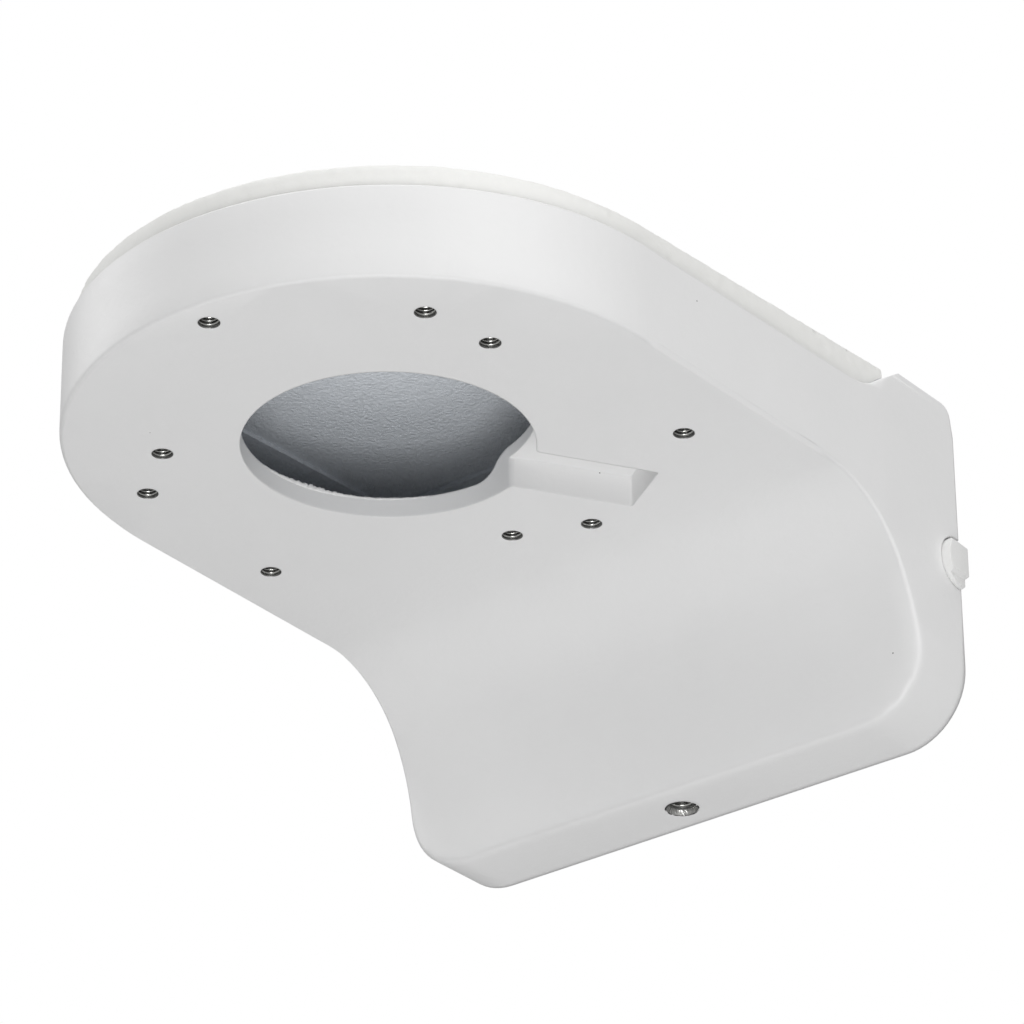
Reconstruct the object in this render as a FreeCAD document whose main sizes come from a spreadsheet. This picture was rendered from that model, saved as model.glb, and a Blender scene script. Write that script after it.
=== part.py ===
"""Wall bracket for a dome or turret camera, in millimetres.

A short hollow arm stands out from the wall. Its round head carries the camera underneath,
a cover closes it above, and its open back hangs on a steel plate that is screwed to the wall.
Frame: +Z up, X along the wall, the wall's face at Y = 0 and the arm towards -Y.
The origin is the centre of the wall plate's screw pattern.
"""
import FreeCAD
import Part
import Sketcher
import math
import os

# Driving sizes: alias, value in mm, degrees or a count, what it is

SIZES = [
    ("head_radius", 61, "round head of the arm"),
    ("head_to_wall", 97.8, "head's centre to the wall"),
    ("wall_half_width", 61.8, "half the width of the foot at the wall"),
    ("foot_height", 75, "height of the foot on the wall, without its rise"),
    ("foot_rise", 0.65, "how much higher than that the foot's top reaches"),
    ("foot_depth", 15, "depth of the foot from the wall"),
    ("side_straight", 24, "stretch beside the wall where the sides run square to it"),
    ("drop", 41.3, "underside of the head above the foot's lower face"),
    ("rim_height", 20.4, "side wall's height at the head's centre"),
    ("rim_slope", 1.1, "degrees that the rim climbs towards the wall"),
    ("sweep_start", 42.3, "where the underside starts to sweep down, from the wall"),
    ("sweep_end", 7.3, "height of the foot's upright front under the sweep"),
    ("sweep_turn", 60, "degrees turned by the tighter arc of the sweep"),
    ("cove_start", 33, "where the rim starts to rise to the foot, from the wall"),
    ("cove_radius", 12, "hollow curve between rim and ramp"),
    ("ramp_angle", 33.5, "degrees that the ramp climbs to the foot's top"),
    ("crown_radius", 6, "round edge at the top of the ramp"),
    ("top_slope", 3.1, "draft in degrees of the foot's top face"),
    ("foot_corner_low", 14, "lower corners of the foot"),
    ("foot_corner_high", 8, "upper corners of the foot"),
    ("lean_start", 26.5, "height over the origin from which the foot's sides lean inwards"),
    ("lean_angle", 6, "degrees of that lean"),
    ("edge_low", 0.8, "bevelled edge around the underside"),
    ("edge_rim", 0.7, "bevelled edge of the rim"),
    ("side_wall", 4.2, "thickness of the side walls"),
    ("floor_wall", 3.2, "thickness of the head's floor and of the sweep"),
    ("roof_wall", 3.2, "thickness of the foot's roof"),
    ("foot_floor", 3.6, "thickness of the foot's lower wall"),
    ("open_end", 30, "rear edge of the opening under the cover, from the wall"),
    ("cable_radius", 27.6, "cable hole in the middle of the head"),
    ("collar_height", 4.1, "height of the raised edge around the cable hole"),
    ("collar_width", 3, "width of that raised edge"),
    ("channel_angle", 58, "direction of the cable channel, degrees from +X"),
    ("channel_half_width", 7, "half the channel's width"),
    ("channel_depth", 6.4, "depth of the channel in the underside"),
    ("channel_end", 51.2, "outer end of the channel, from the head's centre"),
    ("channel_corner", 0.6, "corners of the channel's outer end"),
    ("channel_flare", 1.2, "rounded edges where the channel leaves the cable hole"),
    ("hood_top", 8.9, "height of the hood over the channel"),
    ("hood_half_width", 11.4, "half the hood's width at half its height"),
    ("hood_round", 5.2, "radius of both curves of the hood's flank"),
    ("hood_cap", 3.5, "thickness of the hood's closed end"),
    ("screw_radius", 2, "M4 tapped hole, at its thread's full radius"),
    ("screw_depth", 7.8, "depth of the tapped holes"),
    ("boss_radius", 4.2, "boss around each tapped hole"),
    ("boss_height", 9.6, "top of the bosses above the underside"),
    ("ring_small", 42.2, "radius of the inner three holes"),
    ("ring_middle", 49.1, "radius of the middle three holes"),
    ("ring_large", 55, "radius of the outer three holes"),
    ("turn_small", 95, "direction of the first inner hole, degrees from +X"),
    ("turn_middle", 77, "direction of the first middle hole"),
    ("turn_large", 33.8, "direction of the first outer hole"),
    ("ring_count", 3, "holes on each ring"),
    ("cover_inset", 2, "cover's edge inside the bracket's side"),
    ("cover_seam", 0.15, "open seam between rim and cover"),
    ("cover_front", 5.2, "height of the cover's edge over the rim at the head"),
    ("cover_slope", 2.8, "degrees that the cover climbs behind its bend"),
    ("cover_bend", 14, "where that bend lies, before the head's centre"),
    ("cover_blend", 400, "radius of the soft bend in the cover's top"),
    ("cover_edge", 0.6, "bevelled upper edge of the cover"),
    ("cover_wall", 2.4, "thickness of the cover's top"),
    ("cover_border", 0.8, "extra thickness along the cover's border"),
    ("cover_border_inset", 16.4, "inner edge of that border, inside the bracket's side"),
    ("cover_end", 19.2, "cover's rear end, from the wall"),
    ("cover_end_slope", 53, "slant of the cover's rear end in degrees"),
    ("cover_corner", 3, "rear corners of the cover"),
    ("inner_corner", 1, "rear corners inside the cover's tongue"),
    ("rebate_inset", 2.4, "outer side of the rebate in the rim"),
    ("rebate_depth", 2.4, "depth of that rebate"),
    ("tongue_play", 0.2, "play of the cover's tongue in the rebate"),
    ("tongue_width", 1.5, "width of the tongue"),
    ("gasket_thick", 1, "gasket under the tongue"),
    ("pillar_radius", 3.6, "pillars for the cover's screws"),
    ("pillar_inset", 7.4, "pillars' centres inside the bracket's side"),
    ("pillar_turn", 36, "degrees of the front pillars from straight ahead"),
    ("pillar_rear", 44, "rear pillars' distance from the wall"),
    ("cover_screw_radius", 1.5, "M3 screws of the cover"),
    ("cover_screw_play", 0.2, "play of the M3 screws in the cover"),
    ("cover_screw_hole", 7, "depth of the M3 thread in its pillar"),
    ("cover_screw_grip", 5.5, "reach of the screw into that thread"),
    ("cover_head_radius", 2.85, "button head of the M3 screws"),
    ("cover_head_height", 1.65, "height of that head"),
    ("cover_head_dome", 0.9, "bevelled edge of that head"),
    ("cover_head_play", 0.4, "play around the head in its counterbore"),
    ("cover_head_depth", 1.9, "depth of the counterbore in the cover"),
    ("cover_boss_play", 0.4, "cover's bosses slimmer than the pillars"),
    ("key_radius", 1.15, "hexagon socket of the M3 screws, across its corners"),
    ("key_depth", 1, "depth of that socket"),
    ("lock_to_wall", 7.5, "locking screw's distance from the wall"),
    ("lock_radius", 2.5, "M5 locking screw"),
    ("lock_mouth", 3.1, "radius of the countersunk mouth of its hole"),
    ("lock_mouth_depth", 0.9, "depth of that mouth"),
    ("lock_boss_radius", 4.2, "boss inside the foot around that hole"),
    ("lock_boss_height", 7, "top of that boss above the foot's lower face"),
    ("lock_recess", 3.2, "end of the locking screw inside the foot's lower face"),
    ("lock_tip", 1, "blunt end of the screw's cone point"),
    ("lock_socket", 1.44, "hexagon socket of the locking screw, across its corners"),
    ("lock_socket_depth", 2.2, "depth of that socket"),
    ("thread_play", 0.02, "play between a screw and its thread"),
    ("notch_radius", 5.4, "round cable notch in the +X side"),
    ("notch_straight", 0.9, "straight stretch of the notch beside the wall"),
    ("notch_height", 1.5, "notch's centre below the origin"),
    ("plug_play", 0.18, "play of the plug in the notch"),
    ("plug_drop", 0.16, "how much lower the plug sits than the notch"),
    ("plug_step", 1, "plug's lower lip outside the side wall"),
    ("plug_proud", 2, "plug's crown outside the side wall"),
    ("plug_crown", 3, "half the height of that crown"),
    ("plug_ledge", 0.4, "slope between crown and lower lip"),
    ("plug_bead", 0.3, "rounded end of the lower lip"),
    ("plug_flange", 1.1, "plug's inner flange wider than the notch"),
    ("plug_flange_thick", 2.4, "thickness of that flange"),
    ("plug_flange_play", 0.2, "gap between the flange and the side wall"),
    ("plate_thick", 2, "sheet of the wall plate"),
    ("plate_side_gap", 5.6, "space between the wall plate and the foot's side walls"),
    ("plate_low_gap", 6.9, "space between the plate's lower edge and the foot's lower wall"),
    ("plate_high_gap", 10.95, "space between the plate's upper edge and the foot's roof"),
    ("plate_corner", 5, "corners of the plate"),
    ("slot_inset", 10, "screw slots' centres inside the plate's side edges"),
    ("slot_half_rise", 18, "screw slots, above and below the centre"),
    ("slot_radius", 2.4, "half the width of a slot"),
    ("slot_length", 11, "length of a slot"),
    ("plate_hole", 17, "cable hole in the plate"),
    ("hook_half_span", 30, "plate's hooks, from its centre"),
    ("hook_width", 14, "width of a hook"),
    ("hook_gap", 4, "space inside a hook for the bracket's lip"),
    ("hook_rise", 4.5, "height of the hook's upstand over its shelf"),
    ("bend_inner", 1, "inner radius of the plate's bends"),
    ("lip_play", 0.5, "play of the bracket's lip in a hook"),
    ("tab_half_width", 9, "half the width of the plate's locking tab"),
    ("tab_reach", 11, "reach of that tab from the wall"),
    ("tab_hole", 1.7, "hole in the tab that centres the locking screw"),
]

# How far cutting shapes run past what they cut

OVERRUN = 6.0


def fill_sheet(sheet):
    for row, (alias, value, meaning) in enumerate(SIZES, start=1):
        sheet.set(f"A{row}", meaning)
        sheet.set(f"B{row}", str(value))
        sheet.setAlias(f"B{row}", alias)


doc = FreeCAD.newDocument("camera_wall_bracket")
sizes = doc.addObject("Spreadsheet::Sheet", "Sizes")
fill_sheet(sizes)
doc.recompute()


def number(expression):
    """The expression's value now, for a shape's first guess."""
    result = sizes.evalExpression(expression)
    return float(getattr(result, "Value", result))


# Places worked out from the driving sizes

BOTTOM = "(-Sizes.foot_height / 2)"
TOP = "(Sizes.foot_height / 2 + Sizes.foot_rise)"
UNDER = f"({BOTTOM} + Sizes.drop)"
HEAD_Y = "(-Sizes.head_to_wall)"
FRONT_Y = f"({HEAD_Y} - Sizes.head_radius - {OVERRUN})"
SWEEP_RUN = "(Sizes.sweep_start - Sizes.foot_depth)"
SWEEP_FALL = "(Sizes.drop - Sizes.sweep_end)"
TURN = "Sizes.sweep_turn"
TURN_SUM = f"(sin({TURN}) + cos({TURN}) - 1)"
SWEEP_TIGHT = f"(({SWEEP_RUN} * cos({TURN}) - {SWEEP_FALL} * (1 - sin({TURN}))) / {TURN_SUM})"
SWEEP_WIDE = f"(({SWEEP_FALL} * sin({TURN}) - {SWEEP_RUN} * (1 - cos({TURN}))) / {TURN_SUM})"
TIGHT_Z = f"({UNDER} - {SWEEP_TIGHT})"
WIDE_Y = f"(-Sizes.foot_depth - {SWEEP_WIDE})"
WIDE_Z = f"({BOTTOM} + Sizes.sweep_end)"
PLATE_HALF = "(Sizes.wall_half_width - Sizes.side_wall - Sizes.plate_side_gap)"
PLATE_LOW = f"({BOTTOM} + Sizes.foot_floor + Sizes.plate_low_gap)"
PLATE_HIGH = f"({TOP} - Sizes.roof_wall - Sizes.plate_high_gap)"
SLOT_SPAN = f"({PLATE_HALF} - Sizes.slot_inset)"


def rim_z(y, above="0"):
    """Height of the rim's plane at a distance from the wall, raised by a size."""
    return f"({UNDER} + Sizes.rim_height + ({y} + Sizes.head_to_wall) * tan(Sizes.rim_slope) + {above})"


def top_z(y, under="0"):
    """Height of the foot's top face, lowered by a size."""
    return f"({TOP} + {y} * tan(Sizes.top_slope) - {under})"


def ramp_points(inward="0"):
    """Ends of cove, ramp and crown, moved into the wall's thickness by a size."""
    cove = f"(Sizes.cove_radius + {inward})"
    cove_y = "(-Sizes.cove_start - Sizes.cove_radius * sin(Sizes.rim_slope))"
    cove_z = f"({rim_z('-Sizes.cove_start')} + Sizes.cove_radius * cos(Sizes.rim_slope))"
    foot = (f"({cove_y} + {cove} * sin(Sizes.rim_slope))", f"({cove_z} - {cove} * cos(Sizes.rim_slope))")
    low = (f"({cove_y} + {cove} * sin(Sizes.ramp_angle))", f"({cove_z} - {cove} * cos(Sizes.ramp_angle))")
    slope = "tan(Sizes.ramp_angle)"
    level = f"({TOP} - {inward} / cos(Sizes.top_slope))"
    meet_y = f"(({level} - {low[1]} + {low[0]} * {slope}) / ({slope} - tan(Sizes.top_slope)))"
    meet_z = f"({level} + {meet_y} * tan(Sizes.top_slope))"
    crown = f"(Sizes.crown_radius - {inward})"
    back = f"({crown} * tan((Sizes.ramp_angle - Sizes.top_slope) / 2))"
    high = (
        f"({meet_y} - {back} * cos(Sizes.ramp_angle))",
        f"({meet_z} - {back} * sin(Sizes.ramp_angle))",
    )
    crest = (
        f"({meet_y} + {back} * cos(Sizes.top_slope))",
        f"({meet_z} + {back} * sin(Sizes.top_slope))",
    )
    return {"foot": foot, "low": low, "high": high, "crest": crest, "cove": cove, "crown": crown}


# Sketches: closed outlines whose corners and radii are tied to the sheet

def plane_of(body, role):
    for item in body.Origin.OriginFeatures:
        if item.Role == role:
            return item
    raise ValueError(role)


def new_sketch(body, name, role):
    sketch = body.newObject("Sketcher::SketchObject", name)
    sketch.AttachmentSupport = [(plane_of(body, role), "")]
    sketch.MapMode = "FlatFace"
    return sketch


def tie(sketch, constraint, expression):
    index = sketch.addConstraint(constraint)
    sketch.setExpression(f"Constraints[{index}]", expression)


def pin(sketch, geometry, end, x_text, y_text):
    """Ties an end of a line or arc, or a circle's centre, to its place from the sketch's origin."""
    tie(sketch, Sketcher.Constraint("DistanceX", -1, 1, geometry, end, number(x_text)), x_text)
    tie(sketch, Sketcher.Constraint("DistanceY", -1, 1, geometry, end, number(y_text)), y_text)


def arc_between(start, end, radius, turns_left):
    """The arc of less than half a turn from start to end that turns left or right."""
    chord = end - start
    half = chord.Length / 2
    rise = math.sqrt(max(radius * radius - half * half, 0.0))
    side = FreeCAD.Vector(-chord.y, chord.x, 0).normalize()
    centre = start + chord * 0.5 + side * (rise if turns_left else -rise)
    first, last = (start, end) if turns_left else (end, start)
    first_angle = math.atan2(first.y - centre.y, first.x - centre.x)
    last_angle = math.atan2(last.y - centre.y, last.x - centre.x)
    whole = Part.Circle(centre, FreeCAD.Vector(0, 0, 1), radius)
    return Part.ArcOfCircle(whole, first_angle, last_angle)


def outline(sketch, corners):
    """Draws a closed outline. A corner is (x, y), or (x, y, radius, turn) where an arc leaves it.

    The turn is left or right, or half for a half circle to the left whose ends lie above each other.
    """
    spots = [FreeCAD.Vector(number(corner[0]), number(corner[1]), 0) for corner in corners]
    first = sketch.GeometryCount
    start_ends = []
    for index, corner in enumerate(corners):
        start = spots[index]
        end = spots[(index + 1) % len(spots)]
        start_ends.append(1)
        shape = Part.LineSegment(start, end)
        if len(corner) == 4:
            left = corner[3] != "right"
            shape = arc_between(start, end, number(corner[2]), left)
            start_ends[index] = 1 if left else 2
        sketch.addGeometry(shape, False)
    for index, corner in enumerate(corners):
        following = (index + 1) % len(corners)
        last = 3 - start_ends[index]
        meet = (first + index, last, first + following, start_ends[following])
        sketch.addConstraint(Sketcher.Constraint("Coincident", *meet))
        pin(sketch, first + index, start_ends[index], corner[0], corner[1])
        if len(corner) < 4:
            continue
        if corner[3] == "half":
            centre = Sketcher.Constraint("DistanceX", -1, 1, first + index, 3, number(corner[0]))
            tie(sketch, centre, corner[0])
            continue
        radius = Sketcher.Constraint("Radius", first + index, number(corner[2]))
        tie(sketch, radius, corner[2])


def circle(sketch, x_text, y_text, radius_text):
    centre = FreeCAD.Vector(number(x_text), number(y_text), 0)
    normal = FreeCAD.Vector(0, 0, 1)
    index = sketch.addGeometry(Part.Circle(centre, normal, number(radius_text)), False)
    pin(sketch, index, 3, x_text, y_text)
    tie(sketch, Sketcher.Constraint("Radius", index, number(radius_text)), radius_text)


def frame_around(sketch, low_x, low_y, high_x, high_y):
    """A plain rectangle that lies well outside the form."""
    outline(sketch, [(low_x, low_y), (high_x, low_y), (high_x, high_y), (low_x, high_y)])


# Solid steps

def pad(body, sketch, length, side="One side", backward=False):
    feature = body.newObject("PartDesign::Pad", f"{sketch.Name}_pad")
    feature.Profile = sketch
    feature.SideType = side
    feature.Reversed = backward
    feature.setExpression("Length", length)
    sketch.Visibility = False
    doc.recompute()
    return feature


def pocket_through(body, sketch):
    """Cuts the sketch right through the body, both ways, and makes sure that it cut something."""
    before = body.Shape.Volume
    feature = body.newObject("PartDesign::Pocket", f"{sketch.Name}_pocket")
    feature.Profile = sketch
    feature.Type = "ThroughAll"
    feature.SideType = "Symmetric"
    sketch.Visibility = False
    doc.recompute()
    if not body.Shape.Volume < before - 1e-6:
        raise RuntimeError(f"{feature.Name} cut nothing")
    return feature


def bevel_edges(body, name, size, wanted):
    """Bevels the edges of the body's last feature that the test picks."""
    base = body.Tip
    names = [f"Edge{i}" for i, edge in enumerate(base.Shape.Edges, start=1) if wanted(edge)]
    if not names:
        raise RuntimeError(f"{name} found no edge")
    feature = body.newObject("PartDesign::Chamfer", name)
    feature.Base = (base, names)
    feature.setExpression("Size", size)
    doc.recompute()
    return feature


def new_body(name):
    body = doc.addObject("PartDesign::Body", name)
    body.AllowCompound = True
    return body


def join(name, first, *others):
    result = doc.addObject("Part::MultiFuse", name)
    result.Shapes = [first, *others]
    result.Refine = True
    doc.recompute()
    return result


def cut(name, base, *tools):
    tool = tools[0]
    if len(tools) > 1:
        tool = doc.addObject("Part::MultiFuse", f"{name}_tools")
        tool.Shapes = list(tools)
    result = doc.addObject("Part::Cut", name)
    result.Base = base
    result.Tool = tool
    result.Refine = True
    doc.recompute()
    if not result.Shape.Volume < base.Shape.Volume - 1e-6:
        raise RuntimeError(f"{name} cut nothing")
    return result


def rod(name, radius, height, x_text, y_text, z_text):
    """An upright cylinder that stands on a place from the sheet."""
    solid = doc.addObject("Part::Cylinder", name)
    solid.setExpression("Radius", radius)
    solid.setExpression("Height", height)
    solid.setExpression("Placement.Base.x", x_text)
    solid.setExpression("Placement.Base.y", y_text)
    solid.setExpression("Placement.Base.z", z_text)
    return solid


# Outlines seen from above

def plan_points(inset, rear):
    """Head and straight sides, moved in by a size, with square rear corners on the line y = rear."""
    radius = f"(Sizes.head_radius - {inset})"
    half = f"(Sizes.wall_half_width - {inset})"
    reach = "(Sizes.head_to_wall - Sizes.side_straight)"
    span = f"sqrt({half} ^ 2 + {reach} ^ 2)"
    turn = f"(atan({reach} / {half}) - acos({radius} / {span}))"
    side_x = f"({radius} * cos({turn}))"
    side_y = f"({HEAD_Y} + {radius} * sin({turn}))"
    front = f"({HEAD_Y} - {radius})"
    return {"radius": radius, "half": half, "side_x": side_x, "side_y": side_y, "front": front, "rear": rear}


def side_x_at(y, inset):
    """Half the width between the slanting sides at a distance from the wall, moved in by a size."""
    at = plan_points(inset, "0")
    lean = f"(({at['half']} - {at['side_x']}) / (-Sizes.side_straight - {at['side_y']}))"
    return f"({at['side_x']} + ({y} - {at['side_y']}) * {lean})"


def plan_outline(sketch, inset, rear):
    """The bracket's own outline, which runs past the wall."""
    at = plan_points(inset, rear)
    bend = "(-Sizes.side_straight)"
    outline(sketch, [
        ("0", at["front"], at["radius"], "left"),
        (at["side_x"], at["side_y"]),
        (at["half"], bend),
        (at["half"], rear),
        (f"-{at['half']}", rear),
        (f"-{at['half']}", bend),
        (f"-{at['side_x']}", at["side_y"], at["radius"], "left"),
    ])


def cover_outline(sketch, inset, rear, corner):
    """The cover's outline: its sides end on a straight rear edge with round corners."""
    at = plan_points(inset, rear)
    start_y = f"({rear} - {corner})"
    start_x = side_x_at(start_y, inset)
    end_x = f"({start_x} - {corner})"
    outline(sketch, [
        ("0", at["front"], at["radius"], "left"),
        (at["side_x"], at["side_y"]),
        (start_x, start_y, corner, "left"),
        (end_x, rear),
        (f"-{end_x}", rear, corner, "left"),
        (f"-{start_x}", start_y),
        (f"-{at['side_x']}", at["side_y"], at["radius"], "left"),
    ])


WIDE = f"(Sizes.wall_half_width + {OVERRUN})"
PAST_WALL = f"{OVERRUN}"
FAR_TOP = f"({TOP} + {OVERRUN})"
FAR_LOW = f"({BOTTOM} - {OVERRUN})"


def trim_to_plan(body, name, inset, rear=PAST_WALL, corner=None):
    sketch = new_sketch(body, name, "XY_Plane")
    frame_around(sketch, f"-2 * {WIDE}", f"2 * {FRONT_Y}", f"2 * {WIDE}", f"2 * {WIDE}")
    if corner is None:
        plan_outline(sketch, inset, rear)
    else:
        cover_outline(sketch, inset, rear, corner)
    return pocket_through(body, sketch)


def trim_to_front(body, name, inset, low, high, low_corner, high_corner):
    """Cuts away what lies outside the foot's rounded outline, seen from the front."""
    half = f"(Sizes.wall_half_width - {inset})"
    leant = f"({high_corner} + ({high} - {high_corner} - Sizes.lean_start) * sin(Sizes.lean_angle))"
    middle_x = f"({half} - {leant} / cos(Sizes.lean_angle))"
    turn_x = f"({middle_x} + {high_corner} * cos(Sizes.lean_angle))"
    turn_z = f"({high} - {high_corner} * (1 - sin(Sizes.lean_angle)))"
    sketch = new_sketch(body, name, "XZ_Plane")
    frame_around(sketch, f"-2 * {WIDE}", f"2 * {FAR_LOW}", f"2 * {WIDE}", f"3 * {FAR_TOP}")
    outline(sketch, [
        (f"(-{half} + {low_corner})", low),
        (f"({half} - {low_corner})", low, low_corner, "left"),
        (half, f"({low} + {low_corner})"),
        (half, "Sizes.lean_start"),
        (turn_x, turn_z, high_corner, "left"),
        (middle_x, high),
        (f"-{middle_x}", high, high_corner, "left"),
        (f"-{turn_x}", turn_z),
        (f"-{half}", "Sizes.lean_start"),
        (f"-{half}", f"({low} + {low_corner})", low_corner, "left"),
    ])
    return pocket_through(body, sketch)


# Bracket body

def edge_middle(edge):
    return edge.valueAt((edge.FirstParameter + edge.LastParameter) / 2)


def normals_beside(shape, edge):
    """Outward normals of the faces that meet in the edge."""
    spot = edge_middle(edge)
    normals = []
    for face in shape.ancestorsOfType(edge, Part.Face):
        u, v = face.Surface.parameter(spot)
        normals.append(face.normalAt(u, v))
    return normals


def bends_sharply(shape, edge):
    """True where the two faces beside the edge don't run on smoothly into each other."""
    normals = normals_beside(shape, edge)
    return len(normals) == 2 and normals[0].getAngle(normals[1]) > math.radians(20)


def side_profile(sketch):
    """The bracket seen from the side, from the head's underside round to the rim."""
    ramp = ramp_points()
    outline(sketch, [
        (FRONT_Y, UNDER),
        ("-Sizes.sweep_start", UNDER, SWEEP_TIGHT, "right"),
        (f"(-Sizes.sweep_start + {SWEEP_TIGHT} * sin({TURN}))",
         f"({TIGHT_Z} + {SWEEP_TIGHT} * cos({TURN}))", SWEEP_WIDE, "right"),
        ("-Sizes.foot_depth", WIDE_Z),
        ("-Sizes.foot_depth", BOTTOM),
        ("0", BOTTOM),
        ("0", TOP),
        (ramp["crest"][0], ramp["crest"][1], ramp["crown"], "left"),
        (ramp["high"][0], ramp["high"][1]),
        (ramp["low"][0], ramp["low"][1], ramp["cove"], "right"),
        (ramp["foot"][0], ramp["foot"][1]),
        (FRONT_Y, rim_z(FRONT_Y)),
    ])


def make_form():
    """The bracket's outer form: side profile, then plan, then the foot's rounded outline."""
    body = new_body("outer_form")
    profile = new_sketch(body, "side_profile", "YZ_Plane")
    side_profile(profile)
    pad(body, profile, f"2 * {WIDE}", "Symmetric")
    trim_to_plan(body, "plan", "0")
    rim = number(rim_z(HEAD_Y))
    under = number(UNDER)

    def on_rim(edge):
        box = edge.BoundBox
        middle = edge_middle(edge)
        if middle.z < (rim + under) / 2 or box.ZLength > 40 or box.YLength < 1:
            return False
        return box.XLength < 1 or middle.y < number("-Sizes.cove_start")

    bevel_edges(body, "rim_edge", "Sizes.edge_rim", on_rim)
    trim_to_front(body, "front", "0", BOTTOM, TOP, "Sizes.foot_corner_low", "Sizes.foot_corner_high")

    def on_underside(edge):
        box = edge.BoundBox
        if box.ZMax > under + 0.5 or box.YMax > number("-Sizes.foot_depth") + 0.01:
            return False
        return bends_sharply(body.Tip.Shape, edge)

    bevel_edges(body, "underside_edge", "Sizes.edge_low", on_underside)
    return body


def core_profile(sketch):
    """The hollow seen from the side: over the floor, behind the sweep and under the foot's roof."""
    wall = "Sizes.floor_wall"
    roof = ramp_points("Sizes.roof_wall")
    tight = f"({SWEEP_TIGHT} + {wall})"
    wide = f"({SWEEP_WIDE} + {wall})"
    inner_y = f"(-Sizes.foot_depth + {wall})"
    floor = f"({BOTTOM} + Sizes.foot_floor)"
    ramp = "tan(Sizes.ramp_angle)"
    opening = "(-Sizes.open_end)"
    under_roof = f"({roof['low'][1]} + ({opening} - {roof['low'][0]}) * {ramp})"
    outline(sketch, [
        (FRONT_Y, f"({UNDER} + {wall})"),
        ("-Sizes.sweep_start", f"({UNDER} + {wall})", tight, "right"),
        (f"(-Sizes.sweep_start + {tight} * sin({TURN}))",
         f"({TIGHT_Z} + {tight} * cos({TURN}))", wide, "right"),
        (inner_y, WIDE_Z),
        (inner_y, floor),
        (PAST_WALL, floor),
        (PAST_WALL, top_z(PAST_WALL, "Sizes.roof_wall / cos(Sizes.top_slope)")),
        (roof["crest"][0], roof["crest"][1], roof["crown"], "left"),
        (roof["high"][0], roof["high"][1]),
        (opening, under_roof),
        (opening, FAR_TOP),
        (FRONT_Y, FAR_TOP),
    ])


def make_core():
    """The hollow inside the arm and the foot, open above and at the back."""
    body = new_body("core")
    profile = new_sketch(body, "core_profile", "YZ_Plane")
    core_profile(profile)
    pad(body, profile, f"2 * {WIDE}", "Symmetric")
    trim_to_plan(body, "core_plan", "Sizes.side_wall")
    low = f"({BOTTOM} + Sizes.foot_floor)"
    high = f"({TOP} - Sizes.roof_wall)"
    low_corner = "(Sizes.foot_corner_low - Sizes.side_wall)"
    high_corner = "(Sizes.foot_corner_high - Sizes.side_wall)"
    half = "(Sizes.wall_half_width - Sizes.side_wall)"
    sketch = new_sketch(body, "core_front", "XZ_Plane")
    frame_around(sketch, f"-2 * {WIDE}", f"2 * {FAR_LOW}", f"2 * {WIDE}", f"3 * {FAR_TOP}")
    outline(sketch, [
        (f"(-{half} + {low_corner})", low),
        (f"({half} - {low_corner})", low, low_corner, "left"),
        (half, f"({low} + {low_corner})"),
        (half, f"({high} - {high_corner})", high_corner, "left"),
        (f"({half} - {high_corner})", high),
        (f"(-{half} + {high_corner})", high, high_corner, "left"),
        (f"-{half}", f"({high} - {high_corner})"),
        (f"-{half}", f"({low} + {low_corner})", low_corner, "left"),
    ])
    pocket_through(body, sketch)
    return body


def ring_spots(ring):
    """Places of one ring's holes, counted round the head's centre."""
    spots = []
    for step in range(int(number("Sizes.ring_count"))):
        angle = f"(Sizes.turn_{ring} + {step} * 360 / Sizes.ring_count)"
        x_text = f"(Sizes.ring_{ring} * cos({angle}))"
        y_text = f"({HEAD_Y} + Sizes.ring_{ring} * sin({angle}))"
        spots.append((x_text, y_text))
    return spots


def pillar_spots():
    """Places of the cover's four screws."""
    radius = "(Sizes.head_radius - Sizes.pillar_inset)"
    front_x = f"({radius} * sin(Sizes.pillar_turn))"
    front_y = f"({HEAD_Y} - {radius} * cos(Sizes.pillar_turn))"
    rear_y = "(-Sizes.pillar_rear)"
    rear_x = side_x_at(rear_y, "Sizes.pillar_inset")
    return {
        "front_right": (front_x, front_y),
        "front_left": (f"-{front_x}", front_y),
        "rear_right": (rear_x, rear_y),
        "rear_left": (f"-{rear_x}", rear_y),
    }


def turned_body(name):
    """A body whose own X runs along the cable channel from the head's centre."""
    body = new_body(name)
    body.Placement = FreeCAD.Placement(FreeCAD.Vector(), FreeCAD.Rotation(FreeCAD.Vector(0, 0, 1), 60))
    body.setExpression("Placement.Base.y", HEAD_Y)
    body.setExpression("Placement.Base.z", UNDER)
    body.setExpression("Placement.Rotation.Angle", "Sizes.channel_angle")
    return body


def make_hood():
    """The hood that covers the cable channel inside the head, with soft S-shaped flanks."""
    body = turned_body("hood")
    root = "Sizes.collar_height"
    rise = f"(Sizes.hood_top - {root})"
    turn = f"acos(1 - {rise} / (2 * Sizes.hood_round))"
    reach = f"(Sizes.hood_round * sin({turn}))"
    half = "Sizes.hood_half_width"
    middle = f"({root} + {rise} / 2)"
    sunk = "(Sizes.floor_wall / 2)"
    sketch = new_sketch(body, "hood_section", "YZ_Plane")
    outline(sketch, [
        (f"(-{half} - {reach})", sunk),
        (f"({half} + {reach})", sunk),
        (f"({half} + {reach})", root, "Sizes.hood_round", "right"),
        (half, middle, "Sizes.hood_round", "left"),
        (f"({half} - {reach})", "Sizes.hood_top"),
        (f"(-{half} + {reach})", "Sizes.hood_top", "Sizes.hood_round", "left"),
        (f"-{half}", middle, "Sizes.hood_round", "right"),
        (f"(-{half} - {reach})", root),
    ])
    pad(body, sketch, "(Sizes.channel_end + Sizes.hood_cap)")
    return body


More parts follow.
